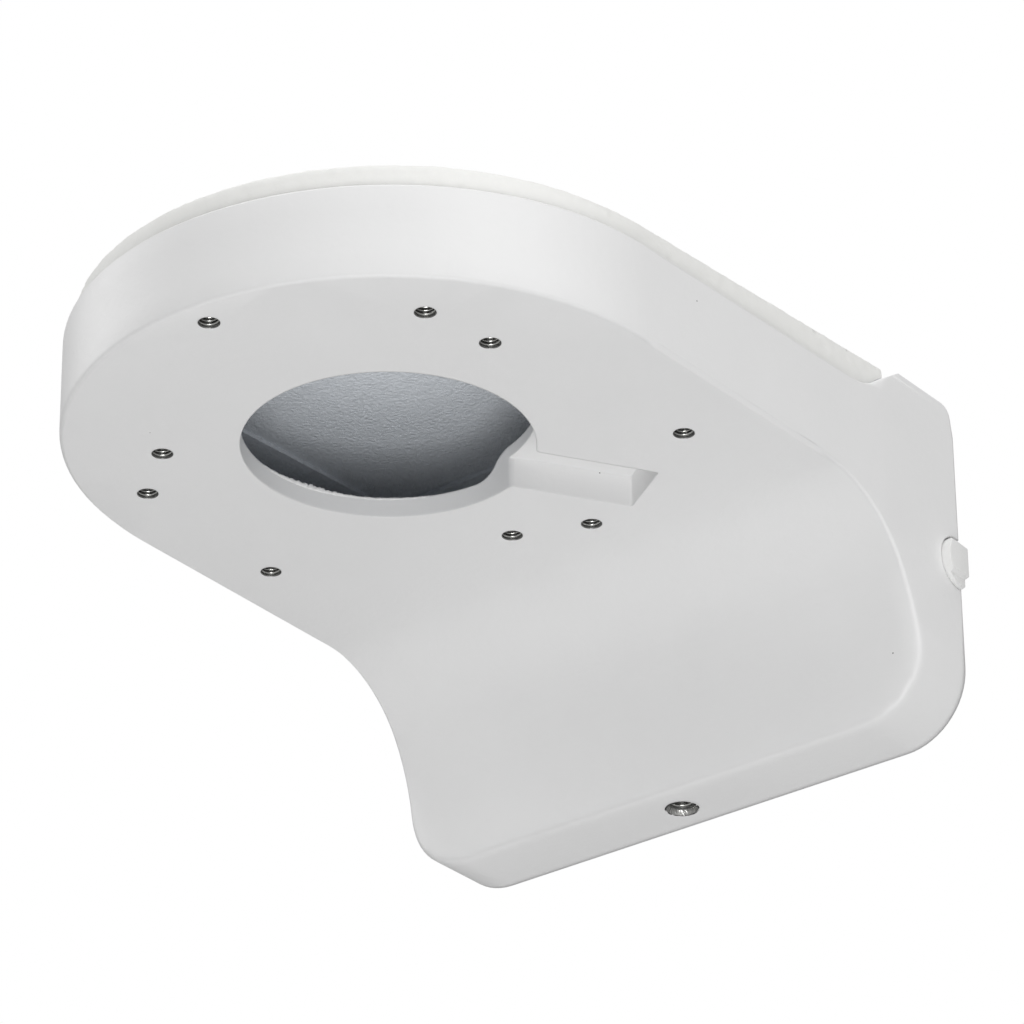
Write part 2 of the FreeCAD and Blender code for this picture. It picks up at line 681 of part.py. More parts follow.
def make_channel():
    """The cable channel, cut from below between the cable hole and its closed outer end."""
    body = turned_body("channel")
    half = "Sizes.channel_half_width"
    end = "Sizes.channel_end"
    corner = "Sizes.channel_corner"
    flare = "Sizes.channel_flare"
    centre_y = f"({half} + {flare})"
    centre_x = f"sqrt((Sizes.cable_radius + {flare}) ^ 2 - {centre_y} ^ 2)"
    part = f"(Sizes.cable_radius / (Sizes.cable_radius + {flare}))"
    mouth_x = f"({centre_x} * {part})"
    mouth_y = f"({centre_y} * {part})"
    sketch = new_sketch(body, "channel_plan", "XY_Plane")
    outline(sketch, [
        (mouth_x, f"-{mouth_y}", flare, "right"),
        (centre_x, f"-{half}"),
        (f"({end} - {corner})", f"-{half}", corner, "left"),
        (end, f"({corner} - {half})"),
        (end, f"({half} - {corner})", corner, "left"),
        (f"({end} - {corner})", half),
        (centre_x, half, flare, "right"),
        (mouth_x, mouth_y),
    ])
    pad(body, sketch, "Sizes.channel_depth")
    return body


def make_rebate(name, depth, inset, rear, corner):
    """A slice that follows the rim's slope, from a depth under it up into the air."""
    body = new_body(name)
    sketch = new_sketch(body, f"{name}_profile", "YZ_Plane")
    outline(sketch, [
        (FRONT_Y, rim_z(FRONT_Y, f"(-{depth})")),
        (PAST_WALL, rim_z(PAST_WALL, f"(-{depth})")),
        (PAST_WALL, FAR_TOP),
        (FRONT_Y, FAR_TOP),
    ])
    pad(body, sketch, f"2 * {WIDE}", "Symmetric")
    trim_to_plan(body, f"{name}_plan", inset, rear, corner)
    return body


REBATE_REAR = "(-Sizes.open_end + Sizes.side_wall - Sizes.rebate_inset)"
REBATE_CORNER = "(Sizes.cover_corner - Sizes.rebate_inset + Sizes.cover_inset)"


def make_pillar(name, spot):
    """A pillar from the floor to the cover's underside, for one of the cover's screws."""
    top = f"{rim_z(spot[1], '(-Sizes.rebate_depth)')}"
    start = f"({UNDER} + Sizes.floor_wall / 2)"
    return rod(name, "Sizes.pillar_radius", f"({top} - {start})", spot[0], spot[1], start)


def make_lip(name, side):
    """A lip under the foot's roof that drops into one of the plate's hooks."""
    body = new_body(name)
    sketch = new_sketch(body, f"{name}_section", "YZ_Plane")
    back = "(-Sizes.plate_thick - Sizes.lip_play)"
    front = "(-Sizes.plate_thick - Sizes.hook_gap + Sizes.bend_inner)"
    low = PLATE_HIGH
    high = f"({TOP} - Sizes.roof_wall / 2 - Sizes.crown_radius * tan(Sizes.top_slope))"
    outline(sketch, [(front, low), (back, low), (back, high), (front, high)])
    pad(body, sketch, "(Sizes.hook_width + 2 * Sizes.lip_play)", "Symmetric")
    body.setExpression("Placement.Base.x", f"{side} * Sizes.hook_half_span")
    return body


def notch_outline(sketch, radius, rear):
    """A round-ended notch that opens towards the wall, up to the line y = rear."""
    outline(sketch, [
        (rear, radius),
        ("-Sizes.notch_straight", radius, radius, "half"),
        ("-Sizes.notch_straight", f"-{radius}"),
        (rear, f"-{radius}"),
    ])


def make_notch():
    """The cable notch in the +X side."""
    body = new_body("notch")
    sketch = new_sketch(body, "notch_section", "YZ_Plane")
    notch_outline(sketch, "Sizes.notch_radius", PAST_WALL)
    pad(body, sketch, f"(2 * Sizes.side_wall + {OVERRUN})")
    body.setExpression("Placement.Base.x", "(Sizes.wall_half_width - 2 * Sizes.side_wall)")
    body.setExpression("Placement.Base.z", "-Sizes.notch_height")
    return body


def make_bracket_body():
    form = make_form()
    core = make_core()
    shell = cut("hollow_shell", form, core)
    added = [shell, make_hood()]
    collar_radius = "(Sizes.cable_radius + Sizes.collar_width)"
    collar = rod("collar", collar_radius, "Sizes.collar_height", "0", HEAD_Y, UNDER)
    added.append(collar)
    holes = []
    floor_start = f"({UNDER} + Sizes.floor_wall / 2)"
    for ring in ("small", "middle", "large"):
        for step, (x_text, y_text) in enumerate(ring_spots(ring)):
            name = f"{ring}_{step}"
            height = "(Sizes.boss_height - Sizes.floor_wall / 2)"
            added.append(rod(f"boss_{name}", "Sizes.boss_radius", height, x_text, y_text, floor_start))
            depth = f"(Sizes.screw_depth + {OVERRUN})"
            start = f"({UNDER} - {OVERRUN})"
            holes.append(rod(f"hole_{name}", "Sizes.screw_radius", depth, x_text, y_text, start))
    for name, spot in pillar_spots().items():
        added.append(make_pillar(f"pillar_{name}", spot))
        top = rim_z(spot[1], "(-Sizes.rebate_depth)")
        start = f"({top} - Sizes.cover_screw_hole)"
        grip = f"(Sizes.cover_screw_hole + {OVERRUN})"
        radius = "(Sizes.cover_screw_radius + Sizes.thread_play)"
        holes.append(rod(f"pillar_hole_{name}", radius, grip, spot[0], spot[1], start))
    lock_y = "(-Sizes.lock_to_wall)"
    lock_start = f"({BOTTOM} + Sizes.foot_floor / 2)"
    lock_height = "(Sizes.lock_boss_height - Sizes.foot_floor / 2)"
    added.append(rod("lock_boss", "Sizes.lock_boss_radius", lock_height, "0", lock_y, lock_start))
    added.append(make_lip("lip_right", "1"))
    added.append(make_lip("lip_left", "-1"))
    solid = join("shell_with_bosses", *added)

    cable_hole = rod("cable_hole", "Sizes.cable_radius", f"(Sizes.hood_top + 2 * {OVERRUN})", "0", HEAD_Y,
                     f"({UNDER} - {OVERRUN})")
    lock_radius = "(Sizes.lock_radius + Sizes.thread_play)"
    lock_depth = f"(Sizes.lock_boss_height + {OVERRUN})"
    lock_hole = rod("lock_hole", lock_radius, lock_depth, "0", lock_y, BOTTOM)
    mouth = doc.addObject("Part::Cone", "lock_mouth")
    mouth.setExpression("Radius1", "Sizes.lock_mouth")
    mouth.setExpression("Radius2", "Sizes.lock_radius")
    mouth.setExpression("Height", "Sizes.lock_mouth_depth")
    mouth.setExpression("Placement.Base.y", lock_y)
    mouth.setExpression("Placement.Base.z", BOTTOM)
    rebate = make_rebate("rebate", "Sizes.rebate_depth", "Sizes.rebate_inset", REBATE_REAR, REBATE_CORNER)
    holes.extend([cable_hole, make_channel(), lock_hole, mouth, make_notch(), rebate])
    return cut("bracket_body", solid, *holes)


bracket_body = make_bracket_body()


# Cover and its seal

TONGUE_INSET = "(Sizes.rebate_inset + Sizes.tongue_play)"
TONGUE_REAR = f"({REBATE_REAR} - Sizes.tongue_play)"
TONGUE_CORNER = f"({REBATE_CORNER} - Sizes.tongue_play)"
HOLLOW_INSET = f"({TONGUE_INSET} + Sizes.tongue_width)"
HOLLOW_REAR = f"({TONGUE_REAR} - Sizes.tongue_width)"
GASKET_LOW = "(-Sizes.rebate_depth)"
GASKET_HIGH = "(Sizes.gasket_thick - Sizes.rebate_depth)"


BEND_Y = "(-Sizes.head_to_wall - Sizes.cover_bend)"


def cover_top(y, under="0"):
    """Height of the cover's top behind its bend, lowered by a size."""
    rise = f"({y} - {BEND_Y}) * tan(Sizes.cover_slope)"
    return f"({rim_z(BEND_Y)} + Sizes.cover_front + {rise} - {under})"


def cover_top_front(y, under="0"):
    """Height of the cover's top before its bend, lowered by a size."""
    return rim_z(y, f"Sizes.cover_front - {under}")


def cover_profile(sketch):
    """The cover seen from the side: over the rim, up the cove to a slanted end, back along its top."""
    seam = ramp_points("-Sizes.cover_seam")
    blend = "(Sizes.cover_blend * tan((Sizes.cover_slope - Sizes.rim_slope) / 2))"
    bend = cover_top(BEND_Y)
    end = "(-Sizes.cover_end)"
    end_top = cover_top(end)
    slant = "tan(Sizes.cover_end_slope)"
    ramp = "tan(Sizes.ramp_angle)"
    low_y, low_z = seam["low"]
    meet_y = f"(({end_top} - {end} * {slant} - {low_z} + {low_y} * {ramp}) / ({ramp} - {slant}))"
    meet_z = f"({low_z} + ({meet_y} - {low_y}) * {ramp})"
    outline(sketch, [
        (FRONT_Y, rim_z(FRONT_Y, "Sizes.cover_seam / cos(Sizes.rim_slope)")),
        (seam["foot"][0], seam["foot"][1], seam["cove"], "left"),
        (low_y, low_z),
        (meet_y, meet_z),
        (end, end_top),
        (f"({BEND_Y} + {blend} * cos(Sizes.cover_slope))",
         f"({bend} + {blend} * sin(Sizes.cover_slope))", "Sizes.cover_blend", "right"),
        (f"({BEND_Y} - {blend} * cos(Sizes.rim_slope))", f"({bend} - {blend} * sin(Sizes.rim_slope))"),
        (FRONT_Y, cover_top_front(FRONT_Y)),
    ])


def make_cover_form():
    body = new_body("cover_form")
    profile = new_sketch(body, "cover_profile", "YZ_Plane")
    cover_profile(profile)
    pad(body, profile, f"2 * {WIDE}", "Symmetric")
    rear = "(-Sizes.cover_end + Sizes.cover_edge / 2)"
    trim_to_plan(body, "cover_plan", "Sizes.cover_inset", rear, "Sizes.cover_corner")

    def on_top(edge):
        shape = body.Tip.Shape
        faces_up = any(normal.z > 0.9 for normal in normals_beside(shape, edge))
        return faces_up and bends_sharply(shape, edge)

    bevel_edges(body, "cover_top_edge", "Sizes.cover_edge", on_top)
    return body


def make_hollow(name, thickness, inset, rear, corner):
    """The space under the cover's top, down to below its tongue."""
    body = new_body(name)
    sketch = new_sketch(body, f"{name}_profile", "YZ_Plane")
    deep = f"(-Sizes.rebate_depth - {OVERRUN})"
    outline(sketch, [
        (FRONT_Y, rim_z(FRONT_Y, deep)),
        (PAST_WALL, rim_z(PAST_WALL, deep)),
        (PAST_WALL, cover_top(PAST_WALL, thickness)),
        (BEND_Y, cover_top(BEND_Y, thickness)),
        (FRONT_Y, cover_top_front(FRONT_Y, thickness)),
    ])
    pad(body, sketch, f"2 * {WIDE}", "Symmetric")
    trim_to_plan(body, f"{name}_plan", inset, rear, corner)
    return body


def make_ring(name, low, high):
    """A ring that runs round in the rebate, between two heights over the rim."""
    body = new_body(name)
    sketch = new_sketch(body, f"{name}_profile", "YZ_Plane")
    outline(sketch, [
        (FRONT_Y, rim_z(FRONT_Y, low)),
        (PAST_WALL, rim_z(PAST_WALL, low)),
        (PAST_WALL, rim_z(PAST_WALL, high)),
        (FRONT_Y, rim_z(FRONT_Y, high)),
    ])
    pad(body, sketch, f"2 * {WIDE}", "Symmetric")
    trim_to_plan(body, f"{name}_plan", TONGUE_INSET, TONGUE_REAR, TONGUE_CORNER)
    inside = new_sketch(body, f"{name}_inside", "XY_Plane")
    cover_outline(inside, HOLLOW_INSET, HOLLOW_REAR, "Sizes.inner_corner")
    pocket_through(body, inside)
    return body


def seat_height(name, spot):
    """Floor of the counterbore for one of the cover's screws."""
    top = cover_top_front(spot[1]) if name.startswith("front") else cover_top(spot[1])
    return f"({top} - Sizes.cover_head_depth)"


def make_top_cover():
    border = make_hollow("cover_hollow", "(Sizes.cover_wall + Sizes.cover_border)", HOLLOW_INSET, HOLLOW_REAR,
                         "Sizes.inner_corner")
    middle_rear = f"({HOLLOW_REAR} - Sizes.cover_border_inset + {HOLLOW_INSET})"
    middle = make_hollow("cover_middle", "Sizes.cover_wall", "Sizes.cover_border_inset", middle_rear,
                         "Sizes.cover_corner")
    shell = cut("cover_shell", make_cover_form(), border, middle)
    tongue = make_ring("tongue", GASKET_HIGH, "(Sizes.cover_front - Sizes.cover_wall)")
    added = [shell, tongue]
    holes = []
    for name, spot in pillar_spots().items():
        floor = rim_z(spot[1], GASKET_LOW)
        seat = seat_height(name, spot)
        radius = "(Sizes.pillar_radius - Sizes.cover_boss_play)"
        added.append(rod(f"cover_boss_{name}", radius, f"({seat} - {floor})", spot[0], spot[1], floor))
        through = "(Sizes.cover_screw_radius + Sizes.cover_screw_play)"
        holes.append(rod(f"cover_hole_{name}", through, f"{OVERRUN} * 4", spot[0], spot[1],
                         f"({floor} - {OVERRUN})"))
        wide = "(Sizes.cover_head_radius + Sizes.cover_head_play)"
        holes.append(rod(f"counterbore_{name}", wide, f"{OVERRUN}", spot[0], spot[1], seat))
    return cut("top_cover", join("cover_with_bosses", *added), *holes)


def make_cover_screw(name, spot):
    """An M3 button-head screw, turned about its own axis, seated in the cover."""
    body = new_body(f"screw_{name}")
    seat = seat_height(name, spot)
    floor = rim_z(spot[1], GASKET_LOW)
    body.setExpression("Placement.Base.x", spot[0])
    body.setExpression("Placement.Base.y", spot[1])
    body.setExpression("Placement.Base.z", seat)
    head = "Sizes.cover_head_radius"
    high = "Sizes.cover_head_height"
    dome = "Sizes.cover_head_dome"
    shank = f"({seat} - {floor} + Sizes.cover_screw_grip)"
    sketch = new_sketch(body, f"screw_{name}_section", "XZ_Plane")
    outline(sketch, [
        ("0", f"-{shank}"),
        ("Sizes.cover_screw_radius", f"-{shank}"),
        ("Sizes.cover_screw_radius", "0"),
        (head, "0"),
        (head, f"({high} - {dome})"),
        (f"({head} - {dome})", high),
        ("0", high),
    ])
    turned = body.newObject("PartDesign::Revolution", f"screw_{name}_turned")
    turned.Profile = sketch
    turned.ReferenceAxis = (sketch, ["V_Axis"])
    turned.Angle = 360
    sketch.Visibility = False
    doc.recompute()
    socket = socket_prism(f"screw_{name}_socket", "Sizes.key_radius", "Sizes.key_depth", spot[0], spot[1],
                          f"({seat} + {high} - Sizes.key_depth)")
    return cut(f"cover_screw_{name}", body, socket)


def socket_prism(name, radius, depth, x_text, y_text, z_text):
    solid = doc.addObject("Part::Prism", name)
    solid.Polygon = 6
    solid.setExpression("Circumradius", radius)
    solid.setExpression("Height", depth)
    solid.setExpression("Placement.Base.x", x_text)
    solid.setExpression("Placement.Base.y", y_text)
    solid.setExpression("Placement.Base.z", z_text)
    return solid


# Wall plate, bent from sheet

def rounded_rectangle(sketch, low_x, low_y, high_x, high_y, corner):
    outline(sketch, [
        (f"({low_x} + {corner})", low_y),
        (f"({high_x} - {corner})", low_y, corner, "left"),
        (high_x, f"({low_y} + {corner})"),
        (high_x, f"({high_y} - {corner})", corner, "left"),
        (f"({high_x} - {corner})", high_y),
        (f"({low_x} + {corner})", high_y, corner, "left"),
        (low_x, f"({high_y} - {corner})"),
        (low_x, f"({low_y} + {corner})", corner, "left"),
    ])


def slot(sketch, x_text, z_text):
    """A slot along X, drawn round its centre."""
    radius = "Sizes.slot_radius"
    half = "(Sizes.slot_length / 2 - Sizes.slot_radius)"
    outline(sketch, [
        (f"({x_text} - {half})", f"({z_text} - {radius})"),
        (f"({x_text} + {half})", f"({z_text} - {radius})", radius, "half"),
        (f"({x_text} + {half})", f"({z_text} + {radius})"),
        (f"({x_text} - {half})", f"({z_text} + {radius})", radius, "half"),
    ])


def make_plate_sheet():
    body = new_body("plate_sheet")
    sheet = new_sketch(body, "plate_outline", "XZ_Plane")
    rounded_rectangle(sheet, f"-{PLATE_HALF}", PLATE_LOW, PLATE_HALF, PLATE_HIGH, "Sizes.plate_corner")
    pad(body, sheet, "Sizes.plate_thick")
    holes = new_sketch(body, "plate_holes", "XZ_Plane")
    circle(holes, "0", "0", "Sizes.plate_hole")
    for side in ("", "-"):
        for height in ("", "-"):
            slot(holes, f"{side}{SLOT_SPAN}", f"{height}Sizes.slot_half_rise")
    pocket_through(body, holes)
    return body


BEND_OUTER = "(Sizes.bend_inner + Sizes.plate_thick)"


def make_hook(name, side):
    """An upward hook, bent forward from the plate's upper edge and then up."""
    body = new_body(name)
    sheet = "Sizes.plate_thick"
    high = PLATE_HIGH
    inner = "Sizes.bend_inner"
    face = "(-Sizes.plate_thick - Sizes.hook_gap)"
    front = f"({face} - {sheet})"
    sketch = new_sketch(body, f"{name}_section", "YZ_Plane")
    outline(sketch, [
        (f"-{sheet}", f"({high} - {sheet} - {inner})", inner, "left"),
        (f"(-{sheet} - {inner})", f"({high} - {sheet})"),
        (f"({front} + {BEND_OUTER})", f"({high} - {sheet})", BEND_OUTER, "right"),
        (front, f"({high} - {sheet} + {BEND_OUTER})"),
        (front, f"({high} + Sizes.hook_rise)"),
        (face, f"({high} + Sizes.hook_rise)"),
        (face, f"({high} + {inner})", inner, "left"),
        (f"({face} + {inner})", high),
        (f"-{BEND_OUTER}", high, BEND_OUTER, "right"),
        ("0", f"({high} - {BEND_OUTER})"),
    ])
    pad(body, sketch, "Sizes.hook_width", "Symmetric")
    body.setExpression("Placement.Base.x", f"{side} * Sizes.hook_half_span")
    return body


def make_tab():
    """The tab that the locking screw presses on, bent forward from the plate's lower edge."""
    body = new_body("tab")
    sheet = "Sizes.plate_thick"
    low = PLATE_LOW
    inner = "Sizes.bend_inner"
    sketch = new_sketch(body, "tab_section", "YZ_Plane")
    outline(sketch, [
        ("0", f"({low} + {BEND_OUTER})", BEND_OUTER, "right"),
        (f"-{BEND_OUTER}", low),
        ("-Sizes.tab_reach", low),
        ("-Sizes.tab_reach", f"({low} + {sheet})"),
        (f"(-{sheet} - {inner})", f"({low} + {sheet})", inner, "left"),
        (f"-{sheet}", f"({low} + {sheet} + {inner})"),
    ])
    pad(body, sketch, "2 * Sizes.tab_half_width", "Symmetric")
    return body


def make_edge_cut(name, x_text, half_width, z_text, height):
    """Clears the plate's edge where a bend takes its place."""
    block = doc.addObject("Part::Box", name)
    block.setExpression("Length", f"2 * {half_width}")
    block.setExpression("Width", f"Sizes.plate_thick + 2 * {OVERRUN}")
    block.setExpression("Height", height)
    block.setExpression("Placement.Base.x", f"{x_text} - {half_width}")
    block.setExpression("Placement.Base.y", f"-Sizes.plate_thick - {OVERRUN}")
    block.setExpression("Placement.Base.z", z_text)
    return block


def make_wall_plate():
    hook_half = "(Sizes.hook_width / 2)"
    reach = f"({BEND_OUTER} + {OVERRUN})"
    high = f"({PLATE_HIGH} - {BEND_OUTER})"
    low = f"({PLATE_LOW} - {OVERRUN})"
    sheet = cut("plate_notched", make_plate_sheet(),
                make_edge_cut("hook_room_right", "Sizes.hook_half_span", hook_half, high, reach),
                make_edge_cut("hook_room_left", "-Sizes.hook_half_span", hook_half, high, reach),
                make_edge_cut("tab_room", "0", "Sizes.tab_half_width", low, reach))
    bent = join("plate_bent", sheet, make_hook("hook_right", "1"), make_hook("hook_left", "-1"), make_tab())
    hole = rod("tab_hole", "Sizes.tab_hole", f"2 * {OVERRUN}", "0", "-Sizes.lock_to_wall",
               f"({PLATE_LOW} - {OVERRUN})")
    return cut("wall_plate", bent, hole)


# Locking screw and plug

def make_lock_screw():
    """An M5 set screw with a cone point that bears on the plate's tab."""
    start = f"({BOTTOM} + Sizes.lock_recess)"
    cone = f"({PLATE_LOW} - Sizes.lock_radius + Sizes.tab_hole - Sizes.thread_play)"
    y_text = "(-Sizes.lock_to_wall)"
    shank = rod("lock_shank", "Sizes.lock_radius", f"({cone} - {start})", "0", y_text, start)
    point = doc.addObject("Part::Cone", "lock_point")
    point.setExpression("Radius1", "Sizes.lock_radius")
    point.setExpression("Radius2", "Sizes.lock_tip")
    point.setExpression("Height", "(Sizes.lock_radius - Sizes.lock_tip)")
    point.setExpression("Placement.Base.y", y_text)
    point.setExpression("Placement.Base.z", cone)
    socket = socket_prism("lock_socket", "Sizes.lock_socket", "Sizes.lock_socket_depth", "0", y_text, start)
    return cut("lock_screw", join("lock_blank", shank, point), socket)


def notch_disc(body, name, radius, depth, backward):
    """A disc of the notch's shape against the wall, padded along X from the body's origin."""
    sketch = new_sketch(body, f"{name}_section", "YZ_Plane")
    notch_outline(sketch, radius, "0")
    return pad(body, sketch, depth, backward=backward)


def make_side_plug():
    """The rubber plug that closes the side notch, with a flange behind the side wall."""
    wall = "Sizes.wall_half_width"
    radius = "(Sizes.notch_radius - Sizes.plug_play)"
    inner = f"({wall} - Sizes.side_wall - Sizes.plug_flange_play)"
    level = "(-Sizes.notch_height - Sizes.plug_drop)"
    body = new_body("plug_bar")
    body.setExpression("Placement.Base.x", inner)
    body.setExpression("Placement.Base.z", level)
    notch_disc(body, "plug_bar", radius, f"({wall} + Sizes.plug_proud - {inner})", False)
    crown = "Sizes.plug_crown"
    face = f"({wall} + Sizes.plug_proud - {inner})"
    step = f"({wall} + Sizes.plug_step - {inner})"
    side = f"({wall} - {inner})"
    sketch = new_sketch(body, "plug_shape", "XZ_Plane")
    frame_around(sketch, f"-2 * {face}", f"-3 * {radius}", f"3 * {face}", f"3 * {radius}")
    outline(sketch, [
        (f"-{face}", f"-1.5 * {radius}"),
        (side, f"-1.5 * {radius}"),
        (side, f"-{radius}"),
        (step, f"(Sizes.plug_bead - {radius})"),
        (step, f"(-{crown} - Sizes.plug_ledge)"),
        (face, f"-{crown}"),
        (face, crown),
        (side, radius),
        (side, f"1.5 * {radius}"),
        (f"-{face}", f"1.5 * {radius}"),
    ])
    pocket_through(body, sketch)
    flange = new_body("plug_flange")
    flange.setExpression("Placement.Base.x", inner)
    flange.setExpression("Placement.Base.z", level)
    wide = "(Sizes.notch_radius + Sizes.plug_flange)"
    notch_disc(flange, "plug_flange", wide, "Sizes.plug_flange_thick", True)
    return join("side_plug", body, flange)


top_cover = make_top_cover()
cover_gasket = make_ring("cover_gasket", GASKET_LOW, GASKET_HIGH)
cover_screws = doc.addObject("Part::Compound", "cover_screws")
cover_screws.Links = [make_cover_screw(name, spot) for name, spot in pillar_spots().items()]
wall_plate = make_wall_plate()
lock_screw = make_lock_screw()
side_plug = make_side_plug()


# Checks and files

def check(items):
    for item in doc.Objects:
        if "Invalid" in item.State or "Error" in item.State:
            raise RuntimeError(f"{item.Name} failed: {item.State}")
    for item in items:
        if item.Shape.isNull() or not item.Shape.isValid():
            raise RuntimeError(f"{item.Label} has no valid shape")


PIECES = [bracket_body, top_cover, cover_gasket, cover_screws, wall_plate, lock_screw, side_plug]
doc.recompute()
check(PIECES)
os.makedirs("parts", exist_ok=True)
for piece in PIECES:
    piece.Shape.exportStep(f"parts/{piece.Label}.step")
    print(piece.Label, len(piece.Shape.Solids), "solids", round(piece.Shape.Volume / 1000, 1), "cm3")
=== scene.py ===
"""Looks of the camera wall bracket: coats, threads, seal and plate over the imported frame, and its studio."""
import bmesh
import bpy
import math
import random
from mathutils import Matrix, Vector, noise
from mathutils.bvhtree import BVHTree
from mathutils.geometry import delaunay_2d_cdt
from mathutils.kdtree import KDTree


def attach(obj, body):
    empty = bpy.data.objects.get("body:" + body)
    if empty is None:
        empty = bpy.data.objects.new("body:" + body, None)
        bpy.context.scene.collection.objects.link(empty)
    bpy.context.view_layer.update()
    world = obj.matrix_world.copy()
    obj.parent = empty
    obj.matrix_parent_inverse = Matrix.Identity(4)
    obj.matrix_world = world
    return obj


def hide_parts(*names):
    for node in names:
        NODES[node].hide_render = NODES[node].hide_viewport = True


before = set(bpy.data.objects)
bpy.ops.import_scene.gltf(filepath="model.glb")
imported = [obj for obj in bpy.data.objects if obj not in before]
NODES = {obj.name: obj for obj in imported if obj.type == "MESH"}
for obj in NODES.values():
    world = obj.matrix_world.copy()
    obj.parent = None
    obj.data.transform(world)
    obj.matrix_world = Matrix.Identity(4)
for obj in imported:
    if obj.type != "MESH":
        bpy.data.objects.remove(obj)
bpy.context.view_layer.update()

bl_info = {
    "name": "Camera wall bracket",
    "version": (1, 0, 0),
    "blender": (4, 5, 0),
    "location": "3D View > Sidebar > Bracket",
    "description": "Coats, threads, seal, plate and studio of a cast camera bracket",
    "category": "Object",
}

MM = 0.001

# The bracket's own places, in millimetres from the centre of its wall plate

HEAD_Y = -97.8
UNDERSIDE = 3.8
RINGS = ((42.2, 95.0), (49.1, 77.0), (55.0, 33.8))
HOLE_DEPTH = 7.6
CABLE_HOLE = 27.6
COLLAR_TOP = UNDERSIDE + 4.1
RIM_AT_HEAD = UNDERSIDE + 20.4
RIM_SLOPE = math.tan(math.radians(1.1))
LOCK_Y = -7.5
FOOT_LOW = -37.5
LOCK_MOUTH = 3.1
LOCK_THREAD_LOW = FOOT_LOW + 0.9
LOCK_SCREW_LOW = FOOT_LOW + 3.2
COVER_SCREW_HEAD = 3.25


def hole_spots():
    """Centres of the nine tapped holes in the head's underside."""
    spots = []
    for radius, first in RINGS:
        for step in range(3):
            angle = math.radians(first + 120 * step)
            spots.append((radius * math.cos(angle), HEAD_Y + radius * math.sin(angle)))
    return spots


# Colours and nodes

def linear(code):
    """An sRGB hex colour as linear RGBA."""
    channels = [int(code[i:i + 2], 16) / 255 for i in (1, 3, 5)]
    return tuple(c / 12.92 if c <= 0.04045 else ((c + 0.055) / 1.055) ** 2.4 for c in channels) + (1.0,)


def add_node(tree, kind, inputs=None, **settings):
    """Adds a node with its settings, and sets or links its inputs by name or number."""
    node = tree.nodes.new(kind)
    for key, value in settings.items():
        setattr(node, key, value)
    for key, value in (inputs or {}).items():
        if isinstance(value, bpy.types.NodeSocket):
            tree.links.new(value, node.inputs[key])
        else:
            node.inputs[key].default_value = value
    return node


def new_material(name):
    """An empty node material."""
    material = bpy.data.materials.new(name)
    material.use_nodes = True
    tree = material.node_tree
    tree.nodes.clear()
    return material, tree


def finish_material(tree, shader):
    add_node(tree, "ShaderNodeOutputMaterial", {"Surface": shader.outputs[0]})


# Meshes

def coat(node_name, material):
    """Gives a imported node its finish."""
    mesh = NODES[node_name].data
    mesh.materials.clear()
    mesh.materials.append(material)


def merged_copy(node_name):
    """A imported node's mesh with its loose triangles joined."""
    bm = bmesh.new()
    bm.from_mesh(NODES[node_name].data)
    bmesh.ops.remove_doubles(bm, verts=bm.verts, dist=0.002 * MM)
    return bm


def soft_shading(bm, limit):
    """Shades smoothly over every edge that bends less than the limit, in degrees."""
    for face in bm.faces:
        face.smooth = True
    for edge in bm.edges:
        edge.smooth = len(edge.link_faces) == 2 and edge.calc_face_angle(0.0) < math.radians(limit)


def new_piece(name, bm, material):
    mesh = bpy.data.meshes.new(name)
    bm.to_mesh(mesh)
    bm.free()
    mesh.materials.append(material)
    piece = bpy.data.objects.new(name, mesh)
    bpy.context.scene.collection.objects.link(piece)
    return piece


def put_on_root(piece, slot_name, *stands_for):
    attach(piece, "root")
    if stands_for:
        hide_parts(*stands_for)


def open_air_around(bm, others):
    """For each face, the share of the directions before it in which nothing stands in the way."""
    verts = [vert.co.copy() for vert in bm.verts]
    faces = [[vert.index for vert in face.verts] for face in bm.faces]
    for other in others:
        start = len(verts)
        verts.extend(vert.co.copy() for vert in other.verts)
        faces.extend([start + vert.index for vert in face.verts] for face in other.faces)
    tree = BVHTree.FromPolygons(verts, faces)
    count = 40
    turns = []
    for step in range(count):
        height = (step + 0.5) / count
        angle = step * math.pi * (3 - math.sqrt(5))
        flat = math.sqrt(1 - height * height)
        turns.append(Vector((flat * math.cos(angle), flat * math.sin(angle), height)))
    shares = []
    for face in bm.faces:
        normal = face.normal
        turn = Vector((0, 0, 1)).rotation_difference(normal)
        start = face.calc_center_median() + normal * 0.05 * MM
        free = 0
        for direction in turns:
            if tree.ray_cast(start, turn @ direction)[0] is None:
                free += 1
        shares.append(free / count)
    return shares


def in_channel(spot):
    """True on the walls and ceiling of the cable channel."""
    angle = math.radians(58)
    x = spot.x / MM
    y = spot.y / MM - HEAD_Y
    along = x * math.cos(angle) + y * math.sin(angle)
    across = -x * math.sin(angle) + y * math.cos(angle)
    return 20 < along < 51.6 and abs(across) < 7.6 and spot.z / MM < UNDERSIDE + 6.6


def mark_bare_and_shade(bm, shares, keep_coated):
    """Marks the corners of the faces deep inside the hollow by how little open air they see. There a darker raw
    grey goes, partly the uncoated casting and partly painted shade.
    """
    layer = bm.loops.layers.float.new("bare")
    bm.faces.index_update()
    for face in bm.faces:
        coated = keep_coated(face.calc_center_median())
        for loop in face.loops:
            around = [shares[other.index] for other in loop.vert.link_faces
                      if other.normal.dot(face.normal) > 0.85]
            share = sum(around) / max(len(around), 1)
            loop[layer] = 0.0 if coated else min(max((0.3 - share) / 0.16, 0.0), 1.0)


# Materials

